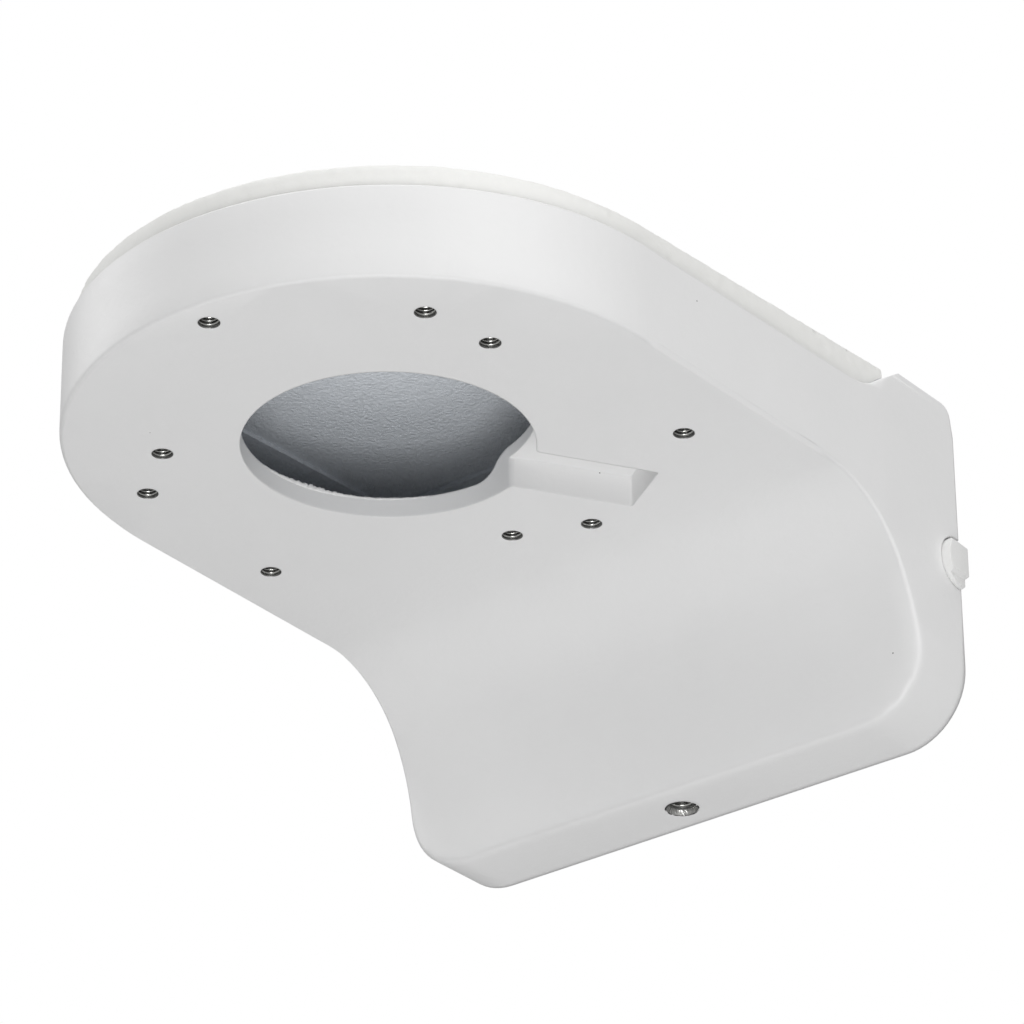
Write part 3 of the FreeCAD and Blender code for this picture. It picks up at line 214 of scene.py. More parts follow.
def powder_coat(looks):
    """White powder coat, satin, on die-cast aluminium.

    The cured powder gives a soft sheen and a fine orange peel over the slight waviness of the casting.
    Deep inside the hollow a darker bluish grey goes: partly the raw casting where the powder did not reach,
    partly painted shade, stronger the less open air a face sees.
    Threads and the locking screw's mouth are cut after coating, so bright metal shows in them.
    """
    material, tree = new_material("Powder coat on cast aluminium")
    place = add_node(tree, "ShaderNodeTexCoord")
    spot = place.outputs["Object"]
    peel = add_node(tree, "ShaderNodeTexNoise", {
        "Vector": spot, "Scale": 1 / looks.peel_width, "Detail": 2.0, "Roughness": 0.45})
    grain = add_node(tree, "ShaderNodeTexNoise", {
        "Vector": spot, "Scale": 1 / looks.grain_width, "Detail": 1.0})
    wave = add_node(tree, "ShaderNodeTexNoise", {
        "Vector": spot, "Scale": 1 / looks.wave_width, "Detail": 1.0})
    tint = add_node(tree, "ShaderNodeMixRGB", {
        0: wave.outputs["Fac"], 1: linear("#E8E8E8"), 2: linear("#EBEBEB")})
    dirt = add_node(tree, "ShaderNodeMixRGB", {
        0: near_spots(tree, spot, SPECKS).outputs[0], 1: tint.outputs[0], 2: linear("#45423F")})
    # Darker raw grey in the enclosed hollow: partly the uncoated casting, partly painted shade set by how
    # enclosed each face is
    inside = add_node(tree, "ShaderNodeAttribute", attribute_name="bare")
    raw = add_node(tree, "ShaderNodeMixRGB", {
        0: inside.outputs["Fac"], 1: dirt.outputs[0], 2: linear("#92969B")})
    bores = [(x, y, None, 2.04) for x, y in hole_spots()] + [(0.0, LOCK_Y, FOOT_LOW + 1.0, LOCK_MOUTH + 0.2)]
    cut = near_spots(tree, spot, bores)
    colour = add_node(tree, "ShaderNodeMixRGB", {
        0: cut.outputs[0], 1: raw.outputs[0], 2: linear("#9B9B9A")})
    rough = add_node(tree, "ShaderNodeMapRange", {
        "Value": peel.outputs["Fac"], "To Min": 0.42, "To Max": 0.52})
    parts = add_node(tree, "ShaderNodeSeparateXYZ", {0: spot})
    low = add_node(tree, "ShaderNodeMapRange", {
        "Value": parts.outputs[2], "From Min": -12 * MM, "From Max": -26 * MM,
        "To Min": looks.edge_round, "To Max": looks.foot_round})
    edge = add_node(tree, "ShaderNodeBevel", {"Radius": low.outputs[0]}, samples=8)
    broad = add_node(tree, "ShaderNodeBump", {
        "Height": wave.outputs["Fac"], "Distance": looks.wave_height, "Normal": edge.outputs[0]})
    skin = add_node(tree, "ShaderNodeBump", {
        "Height": peel.outputs["Fac"], "Distance": looks.peel_height, "Normal": broad.outputs[0]})
    fine = add_node(tree, "ShaderNodeBump", {
        "Height": grain.outputs["Fac"], "Distance": looks.grain_height, "Normal": skin.outputs[0]})
    shader = add_node(tree, "ShaderNodeBsdfPrincipled", {
        "Base Color": colour.outputs[0], "Roughness": rough.outputs[0], "Metallic": cut.outputs[0],
        "IOR": 1.5, "Normal": fine.outputs[0]})
    finish_material(tree, shader)
    return material


# Specks of dirt on the coat: place and radius in millimetres

SPECKS = (
    (61.16, -83.5, 19.0, 0.14),
    (17.8, -56.1, 9.95, 0.13),
    (55.6, -15.4, -24.5, 0.14),
    (-31.0, -129.5, 3.8, 0.1),
)


def near_spots(tree, spot, places):
    """1 within its radius of any of the places, else 0. A place without a height counts at every height."""
    parts = add_node(tree, "ShaderNodeSeparateXYZ", {0: spot})
    flat = add_node(tree, "ShaderNodeCombineXYZ", {0: parts.outputs[0], 1: parts.outputs[1]})
    mask = None
    for x, y, z, radius in places:
        source = flat.outputs[0] if z is None else spot
        away = add_node(tree, "ShaderNodeVectorMath", {
            0: source, 1: (x * MM, y * MM, (z or 0.0) * MM)}, operation="DISTANCE")
        inside = add_node(tree, "ShaderNodeMath", {
            0: away.outputs["Value"], 1: radius * MM}, operation="LESS_THAN")
        if mask is None:
            mask = inside
            continue
        mask = add_node(tree, "ShaderNodeMath", {
            0: mask.outputs[0], 1: inside.outputs[0]}, operation="MAXIMUM")
    return mask


def textured_coat(looks):
    """Coarse-textured white powder coat of the cover: thick, pebbled and a little warmer than the casting.

    Underneath, the cover is as cast: bluish raw aluminium with the mould's fine orange peel.
    """
    material, tree = new_material("Textured powder coat")
    place = add_node(tree, "ShaderNodeTexCoord")
    spot = place.outputs["Object"]
    grain = add_node(tree, "ShaderNodeTexNoise", {
        "Vector": spot, "Scale": 1 / looks.grain_width, "Detail": 2.0, "Roughness": 0.5})
    peel = add_node(tree, "ShaderNodeTexNoise", {
        "Vector": spot, "Scale": 1 / looks.peel_width, "Detail": 3.0, "Roughness": 0.6})
    tint = add_node(tree, "ShaderNodeMixRGB", {
        0: peel.outputs["Fac"], 1: linear("#EDEDEA"), 2: linear("#F1F1EF")})
    inside = add_node(tree, "ShaderNodeAttribute", attribute_name="bare")
    cast = add_node(tree, "ShaderNodeMixRGB", {
        0: peel.outputs["Fac"], 1: linear("#E2E7ED"), 2: linear("#F4F8FD")})
    colour = add_node(tree, "ShaderNodeMixRGB", {
        0: inside.outputs["Fac"], 1: tint.outputs[0], 2: cast.outputs[0]})
    rough = add_node(tree, "ShaderNodeMapRange", {
        "Value": inside.outputs["Fac"], "To Min": 0.55, "To Max": 0.4})
    pits = add_node(tree, "ShaderNodeMapRange", {
        "Value": inside.outputs["Fac"], "To Min": 0.0, "To Max": looks.cast_peel_height})
    pocks = add_node(tree, "ShaderNodeTexNoise", {
        "Vector": spot, "Scale": 1 / looks.cast_peel_width, "Detail": 2.0, "Roughness": 0.6})
    skin = add_node(tree, "ShaderNodeBump", {
        "Height": grain.outputs["Fac"], "Distance": looks.grain_height * 3})
    bump = add_node(tree, "ShaderNodeBump", {
        "Height": pocks.outputs["Fac"], "Distance": pits.outputs[0], "Normal": skin.outputs[0]})
    shader = add_node(tree, "ShaderNodeBsdfPrincipled", {
        "Base Color": colour.outputs[0], "Roughness": rough.outputs[0], "IOR": 1.5,
        "Normal": bump.outputs[0]})
    finish_material(tree, shader)
    return material


def cut_thread_metal():
    """Bare aluminium of the tapped threads: bright, with the drag marks of the tap."""
    material, tree = new_material("Tapped aluminium")
    place = add_node(tree, "ShaderNodeTexCoord")
    drag = add_node(tree, "ShaderNodeTexNoise", {
        "Vector": place.outputs["Object"], "Scale": 1 / (0.25 * MM), "Detail": 2.0})
    tint = add_node(tree, "ShaderNodeMixRGB", {
        0: drag.outputs["Fac"], 1: linear("#8E8E8C"), 2: linear("#D9D9D6")})
    bump = add_node(tree, "ShaderNodeBump", {"Height": drag.outputs["Fac"], "Distance": 0.02 * MM})
    shader = add_node(tree, "ShaderNodeBsdfPrincipled", {
        "Base Color": tint.outputs[0], "Metallic": 1.0, "Roughness": 0.22, "Normal": bump.outputs[0]})
    finish_material(tree, shader)
    return material


def screw_steel():
    """Stainless steel of the screws: turned, a little worn."""
    material, tree = new_material("Stainless screw steel")
    place = add_node(tree, "ShaderNodeTexCoord")
    turned = add_node(tree, "ShaderNodeTexNoise", {
        "Vector": place.outputs["Object"], "Scale": 1 / (0.4 * MM), "Detail": 3.0})
    rough = add_node(tree, "ShaderNodeMapRange", {
        "Value": turned.outputs["Fac"], "To Min": 0.22, "To Max": 0.42})
    shader = add_node(tree, "ShaderNodeBsdfPrincipled", {
        "Base Color": linear("#B9B8B4"), "Metallic": 1.0, "Roughness": rough.outputs[0]})
    finish_material(tree, shader)
    return material


def zinc_sheet():
    """Zinc-plated steel sheet: bluish grey with faint cloudy spangle."""
    material, tree = new_material("Zinc-plated sheet")
    place = add_node(tree, "ShaderNodeTexCoord")
    cloud = add_node(tree, "ShaderNodeTexVoronoi", {
        "Vector": place.outputs["Object"], "Scale": 1 / (6 * MM)}, feature="SMOOTH_F1")
    tint = add_node(tree, "ShaderNodeMixRGB", {
        0: cloud.outputs["Distance"], 1: linear("#AEB2B6"), 2: linear("#C3C7CA")})
    rough = add_node(tree, "ShaderNodeMapRange", {
        "Value": cloud.outputs["Distance"], "To Min": 0.34, "To Max": 0.46})
    shader = add_node(tree, "ShaderNodeBsdfPrincipled", {
        "Base Color": tint.outputs[0], "Metallic": 1.0, "Roughness": rough.outputs[0]})
    finish_material(tree, shader)
    return material


def seal_rubber():
    """Black EPDM seal: moulded, dull."""
    material, tree = new_material("EPDM seal")
    place = add_node(tree, "ShaderNodeTexCoord")
    dust = add_node(tree, "ShaderNodeTexNoise", {
        "Vector": place.outputs["Object"], "Scale": 1 / (1.5 * MM), "Detail": 3.0})
    tint = add_node(tree, "ShaderNodeMixRGB", {
        0: dust.outputs["Fac"], 1: linear("#1B1B1C"), 2: linear("#262627")})
    shader = add_node(tree, "ShaderNodeBsdfPrincipled", {
        "Base Color": tint.outputs[0], "Roughness": 0.8, "IOR": 1.52})
    finish_material(tree, shader)
    return material


def plug_rubber():
    """White moulded TPE plug: matte and smooth, with soft mottling."""
    material, tree = new_material("Moulded TPE")
    place = add_node(tree, "ShaderNodeTexCoord")
    mottle = add_node(tree, "ShaderNodeTexNoise", {
        "Vector": place.outputs["Object"], "Scale": 1 / (1.2 * MM), "Detail": 2.0})
    tint = add_node(tree, "ShaderNodeMixRGB", {
        0: mottle.outputs["Fac"], 1: linear("#E4E4E3"), 2: linear("#EAEAE9")})
    bump = add_node(tree, "ShaderNodeBump", {"Height": mottle.outputs["Fac"], "Distance": 0.03 * MM})
    shader = add_node(tree, "ShaderNodeBsdfPrincipled", {
        "Base Color": tint.outputs[0], "Roughness": 0.6, "IOR": 1.5, "Normal": bump.outputs[0]})
    finish_material(tree, shader)
    return material


# Casting: soft edges, a raw hollow darkened with painted shade and the flash at its cable hole

def on_outer_skin(face):
    """True for the flat underside and the foot's outer faces, which need no finer mesh."""
    spot = face.calc_center_median() / MM
    return spot.z < UNDERSIDE + 0.1 and face.normal.z < -0.5 or abs(face.normal.x) > 0.98 and abs(spot.x) > 61


def make_casting(looks, material):
    bm = merged_copy("bracket_body")
    cover = merged_copy("top_cover")
    layer = bm.faces.layers.int.new("wide")
    for face in bm.faces:
        face[layer] = 1 if face.calc_area() > 20 * MM ** 2 and not on_outer_skin(face) else 0
    refine(bm, layer, 7 * MM)
    bm.verts.index_update()
    cover.verts.index_update()
    # How open each face is: the less open, the more painted shade of darker raw grey it gets
    shares = open_air_around(bm, [cover])
    cover.free()

    def keep_coated(spot):
        away = math.hypot(spot.x / MM, spot.y / MM - HEAD_Y)
        return away < CABLE_HOLE + 0.05 or in_channel(spot) or spot.z / MM < UNDERSIDE + 0.1 and spot.y < -0.043

    mark_bare_and_shade(bm, shares, keep_coated)
    soft_shading(bm, 50)
    piece = new_piece("casting", bm, material)
    weigh = piece.modifiers.new("soft edges", "WEIGHTED_NORMAL")
    weigh.keep_sharp = True
    put_on_root(piece, "coated_casting", "bracket_body")
    return piece


def make_flash(looks, material):
    """The ragged casting flash on the inner edge of the cable hole, on the side away from the wall's channel."""
    rng = random.Random(7)
    bm = bmesh.new()
    rows = []
    first, last = looks.flash_from, looks.flash_to
    steps = int((last - first) / 0.45)
    for step in range(steps + 1):
        angle = math.radians(first + (last - first) * step / steps)
        fade = math.sin(math.pi * step / steps) ** 0.4 * (0.3 + 0.7 * math.exp(-((angle - 2.87) / 0.26) ** 2))
        ragged = 0.5 + 0.5 * noise.noise(Vector((step * 0.31, 2.3, 0.0)))
        torn = 0.35 + 0.65 * rng.random()
        height = fade * looks.flash_height / MM * ragged * torn
        inward = fade * looks.flash_height / MM * 0.5 * (0.3 + rng.random())
        outline = (
            (CABLE_HOLE + 0.9, COLLAR_TOP - 0.02),
            (CABLE_HOLE + 0.7, COLLAR_TOP + 0.03 + 0.4 * height),
            (CABLE_HOLE + 0.3, COLLAR_TOP + 0.05 + height),
            (CABLE_HOLE - inward * 0.8, COLLAR_TOP + 0.02 + 0.7 * height),
            (CABLE_HOLE - inward * 0.5, COLLAR_TOP - 0.25 - 0.3 * height),
            (CABLE_HOLE + 0.05, COLLAR_TOP - 0.5),
        )
        row = []
        for radius, z in outline:
            x = radius * math.cos(angle)
            y = HEAD_Y + radius * math.sin(angle)
            row.append(bm.verts.new((x * MM, y * MM, z * MM)))
        rows.append(row)
    close_strip(bm, rows)
    soft_shading(bm, 40)
    piece = new_piece("cable_hole_flash", bm, material)
    put_on_root(piece, "coated_casting")
    return piece


def close_strip(bm, rows):
    """Skins a row of closed outlines and caps its two ends, with the faces pointing outwards."""
    for one, two in zip(rows, rows[1:]):
        for index in range(len(one)):
            following = (index + 1) % len(one)
            bm.faces.new((one[index], one[following], two[following], two[index]))
    bm.faces.new(rows[0])
    bm.faces.new(rows[-1])
    bmesh.ops.recalc_face_normals(bm, faces=bm.faces)


def make_lock_mouth(material):
    """The rough, torn lip that the countersink left around the locking screw's hole."""
    rng = random.Random(11)
    bm = bmesh.new()
    rows = []
    count = 72
    for step in range(count):
        angle = 2 * math.pi * step / count
        row = []
        for radius, z, play in ((LOCK_MOUTH + 0.3, 0.03, 0.05), (LOCK_MOUTH + 0.26, -0.03, 0.06),
                                (LOCK_MOUTH, -0.05, 0.05), (2.86, 0.3, 0.05), (2.62, 0.6, 0.05),
                                (2.46, 0.92, 0.03), (2.62, 0.98, 0.0)):
            away = radius + play * (2 * rng.random() - 1)
            height = FOOT_LOW + z + 0.6 * play * (2 * rng.random() - 1)
            row.append(bm.verts.new((away * math.cos(angle) * MM, (LOCK_Y + away * math.sin(angle)) * MM,
                                     max(height, FOOT_LOW) * MM)))
        rows.append(row)
    for one, two in zip(rows, rows[1:] + rows[:1]):
        for index in range(len(one)):
            following = (index + 1) % len(one)
            bm.faces.new((one[index], one[following], two[following], two[index]))
    bmesh.ops.recalc_face_normals(bm, faces=bm.faces)
    piece = new_piece("locking_hole_lip", bm, material)
    put_on_root(piece, "coated_casting")
    return piece


# Threads

def thread_tree():
    """A threaded bore for each point: a helix with a ridge that stands inwards from the full radius."""
    tree = bpy.data.node_groups.new("Tapped thread", "GeometryNodeTree")
    tree.interface.new_socket("Geometry", in_out="INPUT", socket_type="NodeSocketGeometry")
    for name in ("Radius", "Ridge", "Pitch", "Depth"):
        tree.interface.new_socket(name, in_out="INPUT", socket_type="NodeSocketFloat")
    tree.interface.new_socket("Metal", in_out="INPUT", socket_type="NodeSocketMaterial")
    tree.interface.new_socket("Geometry", in_out="OUTPUT", socket_type="NodeSocketGeometry")
    given = add_node(tree, "NodeGroupInput").outputs
    turns = add_node(tree, "ShaderNodeMath", {0: given["Depth"], 1: given["Pitch"]}, operation="DIVIDE")
    half = add_node(tree, "ShaderNodeMath", {0: given["Ridge"], 1: 0.5}, operation="MULTIPLY")
    middle = add_node(tree, "ShaderNodeMath", {0: given["Radius"], 1: half.outputs[0]}, operation="SUBTRACT")
    foot = add_node(tree, "ShaderNodeMath", {0: given["Pitch"], 1: 0.9}, operation="MULTIPLY")
    crest = add_node(tree, "ShaderNodeMath", {0: given["Pitch"], 1: 0.16}, operation="MULTIPLY")
    helix = add_node(tree, "GeometryNodeCurveSpiral", {
        "Resolution": 28, "Rotations": turns.outputs[0], "Start Radius": middle.outputs[0],
        "End Radius": middle.outputs[0], "Height": given["Depth"]})
    upright = add_node(tree, "GeometryNodeSetCurveNormal", {"Curve": helix.outputs[0]}, mode="Z_UP")
    ridge = add_node(tree, "GeometryNodeCurvePrimitiveQuadrilateral", {
        "Bottom Width": foot.outputs[0], "Top Width": crest.outputs[0], "Height": given["Ridge"],
        "Offset": 0.0}, mode="TRAPEZOID")
    turned = add_node(tree, "GeometryNodeTransform", {
        "Geometry": ridge.outputs[0], "Rotation": (0.0, 0.0, math.radians(-90))})
    thread = add_node(tree, "GeometryNodeCurveToMesh", {
        "Curve": upright.outputs[0], "Profile Curve": turned.outputs[0], "Fill Caps": True})
    placed = add_node(tree, "GeometryNodeInstanceOnPoints", {
        "Points": given["Geometry"], "Instance": thread.outputs[0]})
    real = add_node(tree, "GeometryNodeRealizeInstances", {"Geometry": placed.outputs[0]})
    painted = add_node(tree, "GeometryNodeSetMaterial", {
        "Geometry": real.outputs[0], "Material": given["Metal"]})
    add_node(tree, "NodeGroupOutput", {0: painted.outputs[0]})
    return tree


def cut_thread(name, tree, spots, radius, ridge, pitch, depth, material):
    """Threads at the given places, as one plain mesh."""
    seeds = bpy.data.meshes.new(f"{name} places")
    seeds.from_pydata([Vector(spot) * MM for spot in spots], [], [])
    maker = bpy.data.objects.new(f"{name} maker", seeds)
    bpy.context.scene.collection.objects.link(maker)
    step = maker.modifiers.new("thread", "NODES")
    step.node_group = tree
    values = {"Radius": radius, "Ridge": ridge, "Pitch": pitch, "Depth": depth, "Metal": material}
    for socket in tree.interface.items_tree:
        if socket.in_out == "INPUT" and socket.name in values:
            step[socket.identifier] = values[socket.name]
    graph = bpy.context.evaluated_depsgraph_get()
    mesh = bpy.data.meshes.new_from_object(maker.evaluated_get(graph))
    bpy.data.objects.remove(maker)
    if not mesh.polygons:
        raise RuntimeError(f"{name} came out empty")
    mesh.name = name
    piece = bpy.data.objects.new(name, mesh)
    bpy.context.scene.collection.objects.link(piece)
    put_on_root(piece, "coated_casting")
    return piece


# Cover

COVER_SCREWS = ((31.5, -141.2), (-31.5, -141.2), (54.2, -44.0), (-54.2, -44.0))


def at_cover_screw(spot):
    """True on the counterbores of the cover's four screws."""
    return any(math.hypot(spot.x - x, spot.y - y) < COVER_SCREW_HEAD + 0.02 for x, y in COVER_SCREWS)


def faces_outwards(face):
    """How far the face's normal points away from the cover's middle, in millimetres."""
    spot = face.calc_center_median() / MM
    return face.normal.dot(Vector((spot.x, spot.y + 90.0, 0.0)))


def cover_skin_faces(bm):
    """Faces of the cover's visible skin: top, edge, side band and slanted rear end."""
    skin = []
    for face in bm.faces:
        spot = face.calc_center_median() / MM
        rim = RIM_AT_HEAD + (spot.y - HEAD_Y) * RIM_SLOPE
        if spot.z < rim + 0.12 or at_cover_screw(spot):
            continue
        normal = face.normal
        if normal.z > 0.5 and spot.z > rim + 4.0 or normal.z > -0.2 and faces_outwards(face) > 1.0:
            skin.append(face)
    return skin


def refine(bm, layer, limit):
    """Splits the marked faces' long edges in halves until none is longer than the limit."""
    while True:
        chosen = set()
        for face in bm.faces:
            if face[layer] == 1:
                chosen.update(edge for edge in face.edges if edge.calc_length() > limit)
        if not chosen:
            break
        bmesh.ops.subdivide_edges(bm, edges=list(chosen), cuts=1)
        split = [face for face in bm.faces if len(face.verts) > 3]
        bmesh.ops.triangulate(bm, faces=split, quad_method="SHORT_EDGE")
    return [face for face in bm.faces if face[layer] == 1]


def even_out(bm, faces, layer, step):
    """Replaces the flat faces by even triangles about one step wide, and keeps their outline."""
    inside = set(faces)
    edges = {edge for face in faces for edge in face.edges
             if sum(other in inside for other in edge.link_faces) == 1}
    verts = list({vert for edge in edges for vert in edge.verts})
    number = {vert: index for index, vert in enumerate(verts)}
    flat = [vert.co.xy for vert in verts]
    rims = KDTree(len(verts))
    for index, spot in enumerate(flat):
        rims.insert((spot.x, spot.y, 0.0), index)
    rims.balance()
    shadow = BVHTree.FromPolygons([(spot.x, spot.y, 0.0) for vert in bm.verts for spot in (vert.co.xy,)],
                                  [[vert.index for vert in face.verts] for face in faces])

    def covered(x, y):
        return shadow.ray_cast(Vector((x, y, 1.0)), Vector((0.0, 0.0, -1.0)))[0] is not None

    low = [min(spot[axis] for spot in flat) for axis in (0, 1)]
    high = [max(spot[axis] for spot in flat) for axis in (0, 1)]
    row_gap = step * math.sqrt(0.75)
    points = []
    for row in range(1, int((high[1] - low[1]) / row_gap) + 1):
        y = low[1] + row * row_gap
        for column in range(1, int((high[0] - low[0]) / step) + 1):
            x = low[0] + (column + 0.5 * (row % 2)) * step
            if covered(x, y) and rims.find((x, y, 0.0))[2] > 0.5 * step:
                points.append(Vector((x, y)))
    links = [tuple(number[vert] for vert in edge.verts) for edge in edges]
    spots, _, triangles, sources, _, _ = delaunay_2d_cdt(flat + points, links, [], 0, 1e-9)
    normal = faces[0].normal.copy()
    anchor = faces[0].verts[0].co.copy()
    bmesh.ops.delete(bm, geom=list(faces), context="FACES_KEEP_BOUNDARY")
    made = []
    for spot, source in zip(spots, sources):
        if source and source[0] < len(verts):
            made.append(verts[source[0]])
            continue
        height = anchor.z - (normal.x * (spot.x - anchor.x) + normal.y * (spot.y - anchor.y)) / normal.z
        made.append(bm.verts.new((spot.x, spot.y, height)))
    for triangle in triangles:
        middle = sum((spots[index] for index in triangle), Vector((0.0, 0.0))) / 3
        if covered(middle.x, middle.y):
            face = bm.faces.new([made[index] for index in triangle])
            face[layer] = 1
    bm.normal_update()


def make_cover(looks, material):
    """The cover with its thick, pebbled coat."""
    bm = merged_copy("top_cover")
    layer = bm.faces.layers.int.new("skin")
    for face in cover_skin_faces(bm):
        face[layer] = 1
    joined = {vert for face in bm.faces if face[layer] == 1 for vert in face.verts}
    bmesh.ops.remove_doubles(bm, verts=list(joined), dist=looks.pebble_width * 0.22)
    bmesh.ops.dissolve_degenerate(bm, edges=bm.edges, dist=0.01 * MM)
    bmesh.ops.triangulate(bm, faces=[face for face in bm.faces if len(face.verts) > 3])
    bm.normal_update()
    skin = [face for face in bm.faces if face[layer] == 1]
    bm.verts.index_update()
    largest = max(skin, key=lambda face: face.calc_area()).normal.copy()
    top = [face for face in skin if face.normal.dot(largest) > 0.99999]
    even_out(bm, top, layer, looks.pebble_width * 0.5)
    skin = refine(bm, layer, looks.pebble_width)
    bm.normal_update()
    bare = bm.loops.layers.float.new("bare")
    for face in bm.faces:
        inside = face.normal.z < -0.5 or abs(face.normal.z) < 0.5 and faces_outwards(face) < -1.0
        hidden = face[layer] == 0 and inside and not at_cover_screw(face.calc_center_median() / MM)
        for loop in face.loops:
            loop[bare] = 1.0 if hidden else 0.0
    moves = []
    for vert in {vert for face in skin for vert in face.verts}:
        spot = vert.co / looks.pebble_width
        lump = 0.8 * noise.noise(spot) + 0.7 * noise.noise(spot * 1.9 + Vector((7.0, 3.0, 5.0)))
        moves.append((vert, vert.normal * lump * looks.pebble_height))
    for vert, move in moves:
        vert.co += move
    soft_shading(bm, 60)
    piece = new_piece("pebbled_cover", bm, material)
    put_on_root(piece, "coated_cover", "top_cover")
    return piece


# Side plug

def make_plug(looks, material):
    """The plug with the soft edges of a moulded part."""
    bm = merged_copy("side_plug")
    flat = [edge for edge in bm.edges if len(edge.link_faces) == 2 and edge.calc_face_angle(0.0) < 0.002]
    bmesh.ops.dissolve_edges(bm, edges=flat, use_verts=False)
    sharp = [edge for edge in bm.edges if edge.calc_face_angle(0.0) > math.radians(25)
             and max(vert.co.x for vert in edge.verts) > 62.2 * MM]
    bmesh.ops.bevel(bm, geom=sharp, offset=looks.plug_round, offset_type="OFFSET", segments=4, profile=0.5,
                    affect="EDGES", clamp_overlap=True)
    bmesh.ops.recalc_face_normals(bm, faces=bm.faces)
    soft_shading(bm, 50)
    piece = new_piece("soft_plug", bm, material)
    put_on_root(piece, "plug_rubber", "side_plug")
    return piece


# Settings that a user would change

class BracketLooks(bpy.types.PropertyGroup):
    """Finish of the casting and its cover."""

    peel_width: bpy.props.FloatProperty(
        name="Peel width", description="Width of one ripple of the orange peel",
        default=0.0016, unit="LENGTH")
    peel_height: bpy.props.FloatProperty(
        name="Peel height", description="Height of the orange peel", default=0.00005, unit="LENGTH")
    cast_peel_width: bpy.props.FloatProperty(
        name="Raw peel width", description="Width of the pocks on the raw casting's skin",
        default=0.0008, unit="LENGTH")
    cast_peel_height: bpy.props.FloatProperty(
        name="Raw peel height", description="Height of the pocks on the raw casting's skin",
        default=0.0004, unit="LENGTH")
    grain_width: bpy.props.FloatProperty(
        name="Grain width", description="Width of the powder's grain", default=0.0005, unit="LENGTH")
    grain_height: bpy.props.FloatProperty(
        name="Grain height", description="Height of the powder's grain", default=0.00001, unit="LENGTH")
    wave_width: bpy.props.FloatProperty(
        name="Wave width", description="Width of the casting's waviness", default=0.018, unit="LENGTH")
    wave_height: bpy.props.FloatProperty(
        name="Wave height", description="Height of the casting's waviness", default=0.0001, unit="LENGTH")
    edge_round: bpy.props.FloatProperty(
        name="Edge rounding", description="How far the coat rounds the casting's edges",
        default=0.0006, unit="LENGTH")
    foot_round: bpy.props.FloatProperty(
        name="Foot rounding", description="How far the edge above the foot's lower face is rounded",
        default=0.0022, unit="LENGTH")
    pebble_width: bpy.props.FloatProperty(
        name="Pebble width", description="Width of the cover's pebbled texture",
        default=0.0017, unit="LENGTH")
    pebble_height: bpy.props.FloatProperty(
        name="Pebble height", description="Height of the cover's pebbled texture",
        default=0.00016, unit="LENGTH")
    flash_height: bpy.props.FloatProperty(
        name="Flash height", description="Height of the ragged flash at the cable hole",
        default=0.0011, unit="LENGTH")
    flash_from: bpy.props.FloatProperty(
        name="Flash from", description="Where the flash starts, in degrees round the head", default=112.0)
    flash_to: bpy.props.FloatProperty(
        name="Flash to", description="Where the flash ends, in degrees round the head", default=188.0)
    plug_round: bpy.props.FloatProperty(
        name="Plug rounding", description="Rounding of the side plug's edges", default=0.0004, unit="LENGTH")


class BracketThreads(bpy.types.PropertyGroup):
    """Threads of the camera screws' holes and of the locking screw's hole."""

    camera_pitch: bpy.props.FloatProperty(
        name="Camera thread pitch", description="Pitch of the M4 threads", default=0.0007, unit="LENGTH")
    camera_radius: bpy.props.FloatProperty(
        name="Camera thread radius", description="Full radius of the M4 threads",
        default=0.00202, unit="LENGTH")
    camera_ridge: bpy.props.FloatProperty(
        name="Camera thread ridge", description="Height of the M4 thread's ridge",
        default=0.00038, unit="LENGTH")
    lock_pitch: bpy.props.FloatProperty(
        name="Locking thread pitch", description="Pitch of the M5 thread", default=0.0008, unit="LENGTH")
    lock_radius: bpy.props.FloatProperty(
        name="Locking thread radius", description="Full radius of the M5 thread",
        default=0.00254, unit="LENGTH")
    lock_ridge: bpy.props.FloatProperty(
        name="Locking thread ridge", description="Height of the M5 thread's ridge",
        default=0.00044, unit="LENGTH")


class BracketStudio(bpy.types.PropertyGroup):
    """Camera and light."""

    lens: bpy.props.FloatProperty(
        name="Lens", description="Focal length on a 36 mm sensor", default=182.0, unit="CAMERA")
    floor_drop: bpy.props.FloatProperty(
        name="Floor", description="Floor below the bracket's origin", default=0.75, unit="LENGTH")
    sky: bpy.props.FloatProperty(
        name="Sky", description="Strength of the even white light all round", default=0.3)
    low_power: bpy.props.FloatProperty(
        name="Low light", description="Power of the light below the camera", default=3.8, unit="POWER")
    right_power: bpy.props.FloatProperty(
        name="Right light", description="Power of the high light on the right", default=3.5, unit="POWER")
    left_power: bpy.props.FloatProperty(
        name="Left light", description="Power of the high light on the left", default=3.7, unit="POWER")
    top_power: bpy.props.FloatProperty(
        name="Top light", description="Power of the broad light overhead", default=8.5, unit="POWER")


# Steps

class BRACKET_OT_coat_casting(bpy.types.Operator):
    """Coats the hollow casting and paints its hollow a darker raw grey, partly the uncoated casting and partly
    painted shade
    """

    bl_idname = "bracket.coat_casting"
    bl_label = "Coat the casting"

    def execute(self, context):
        looks = context.scene.bracket_looks
        material = powder_coat(looks)
        make_casting(looks, material)
        make_flash(looks, material)
        return {"FINISHED"}


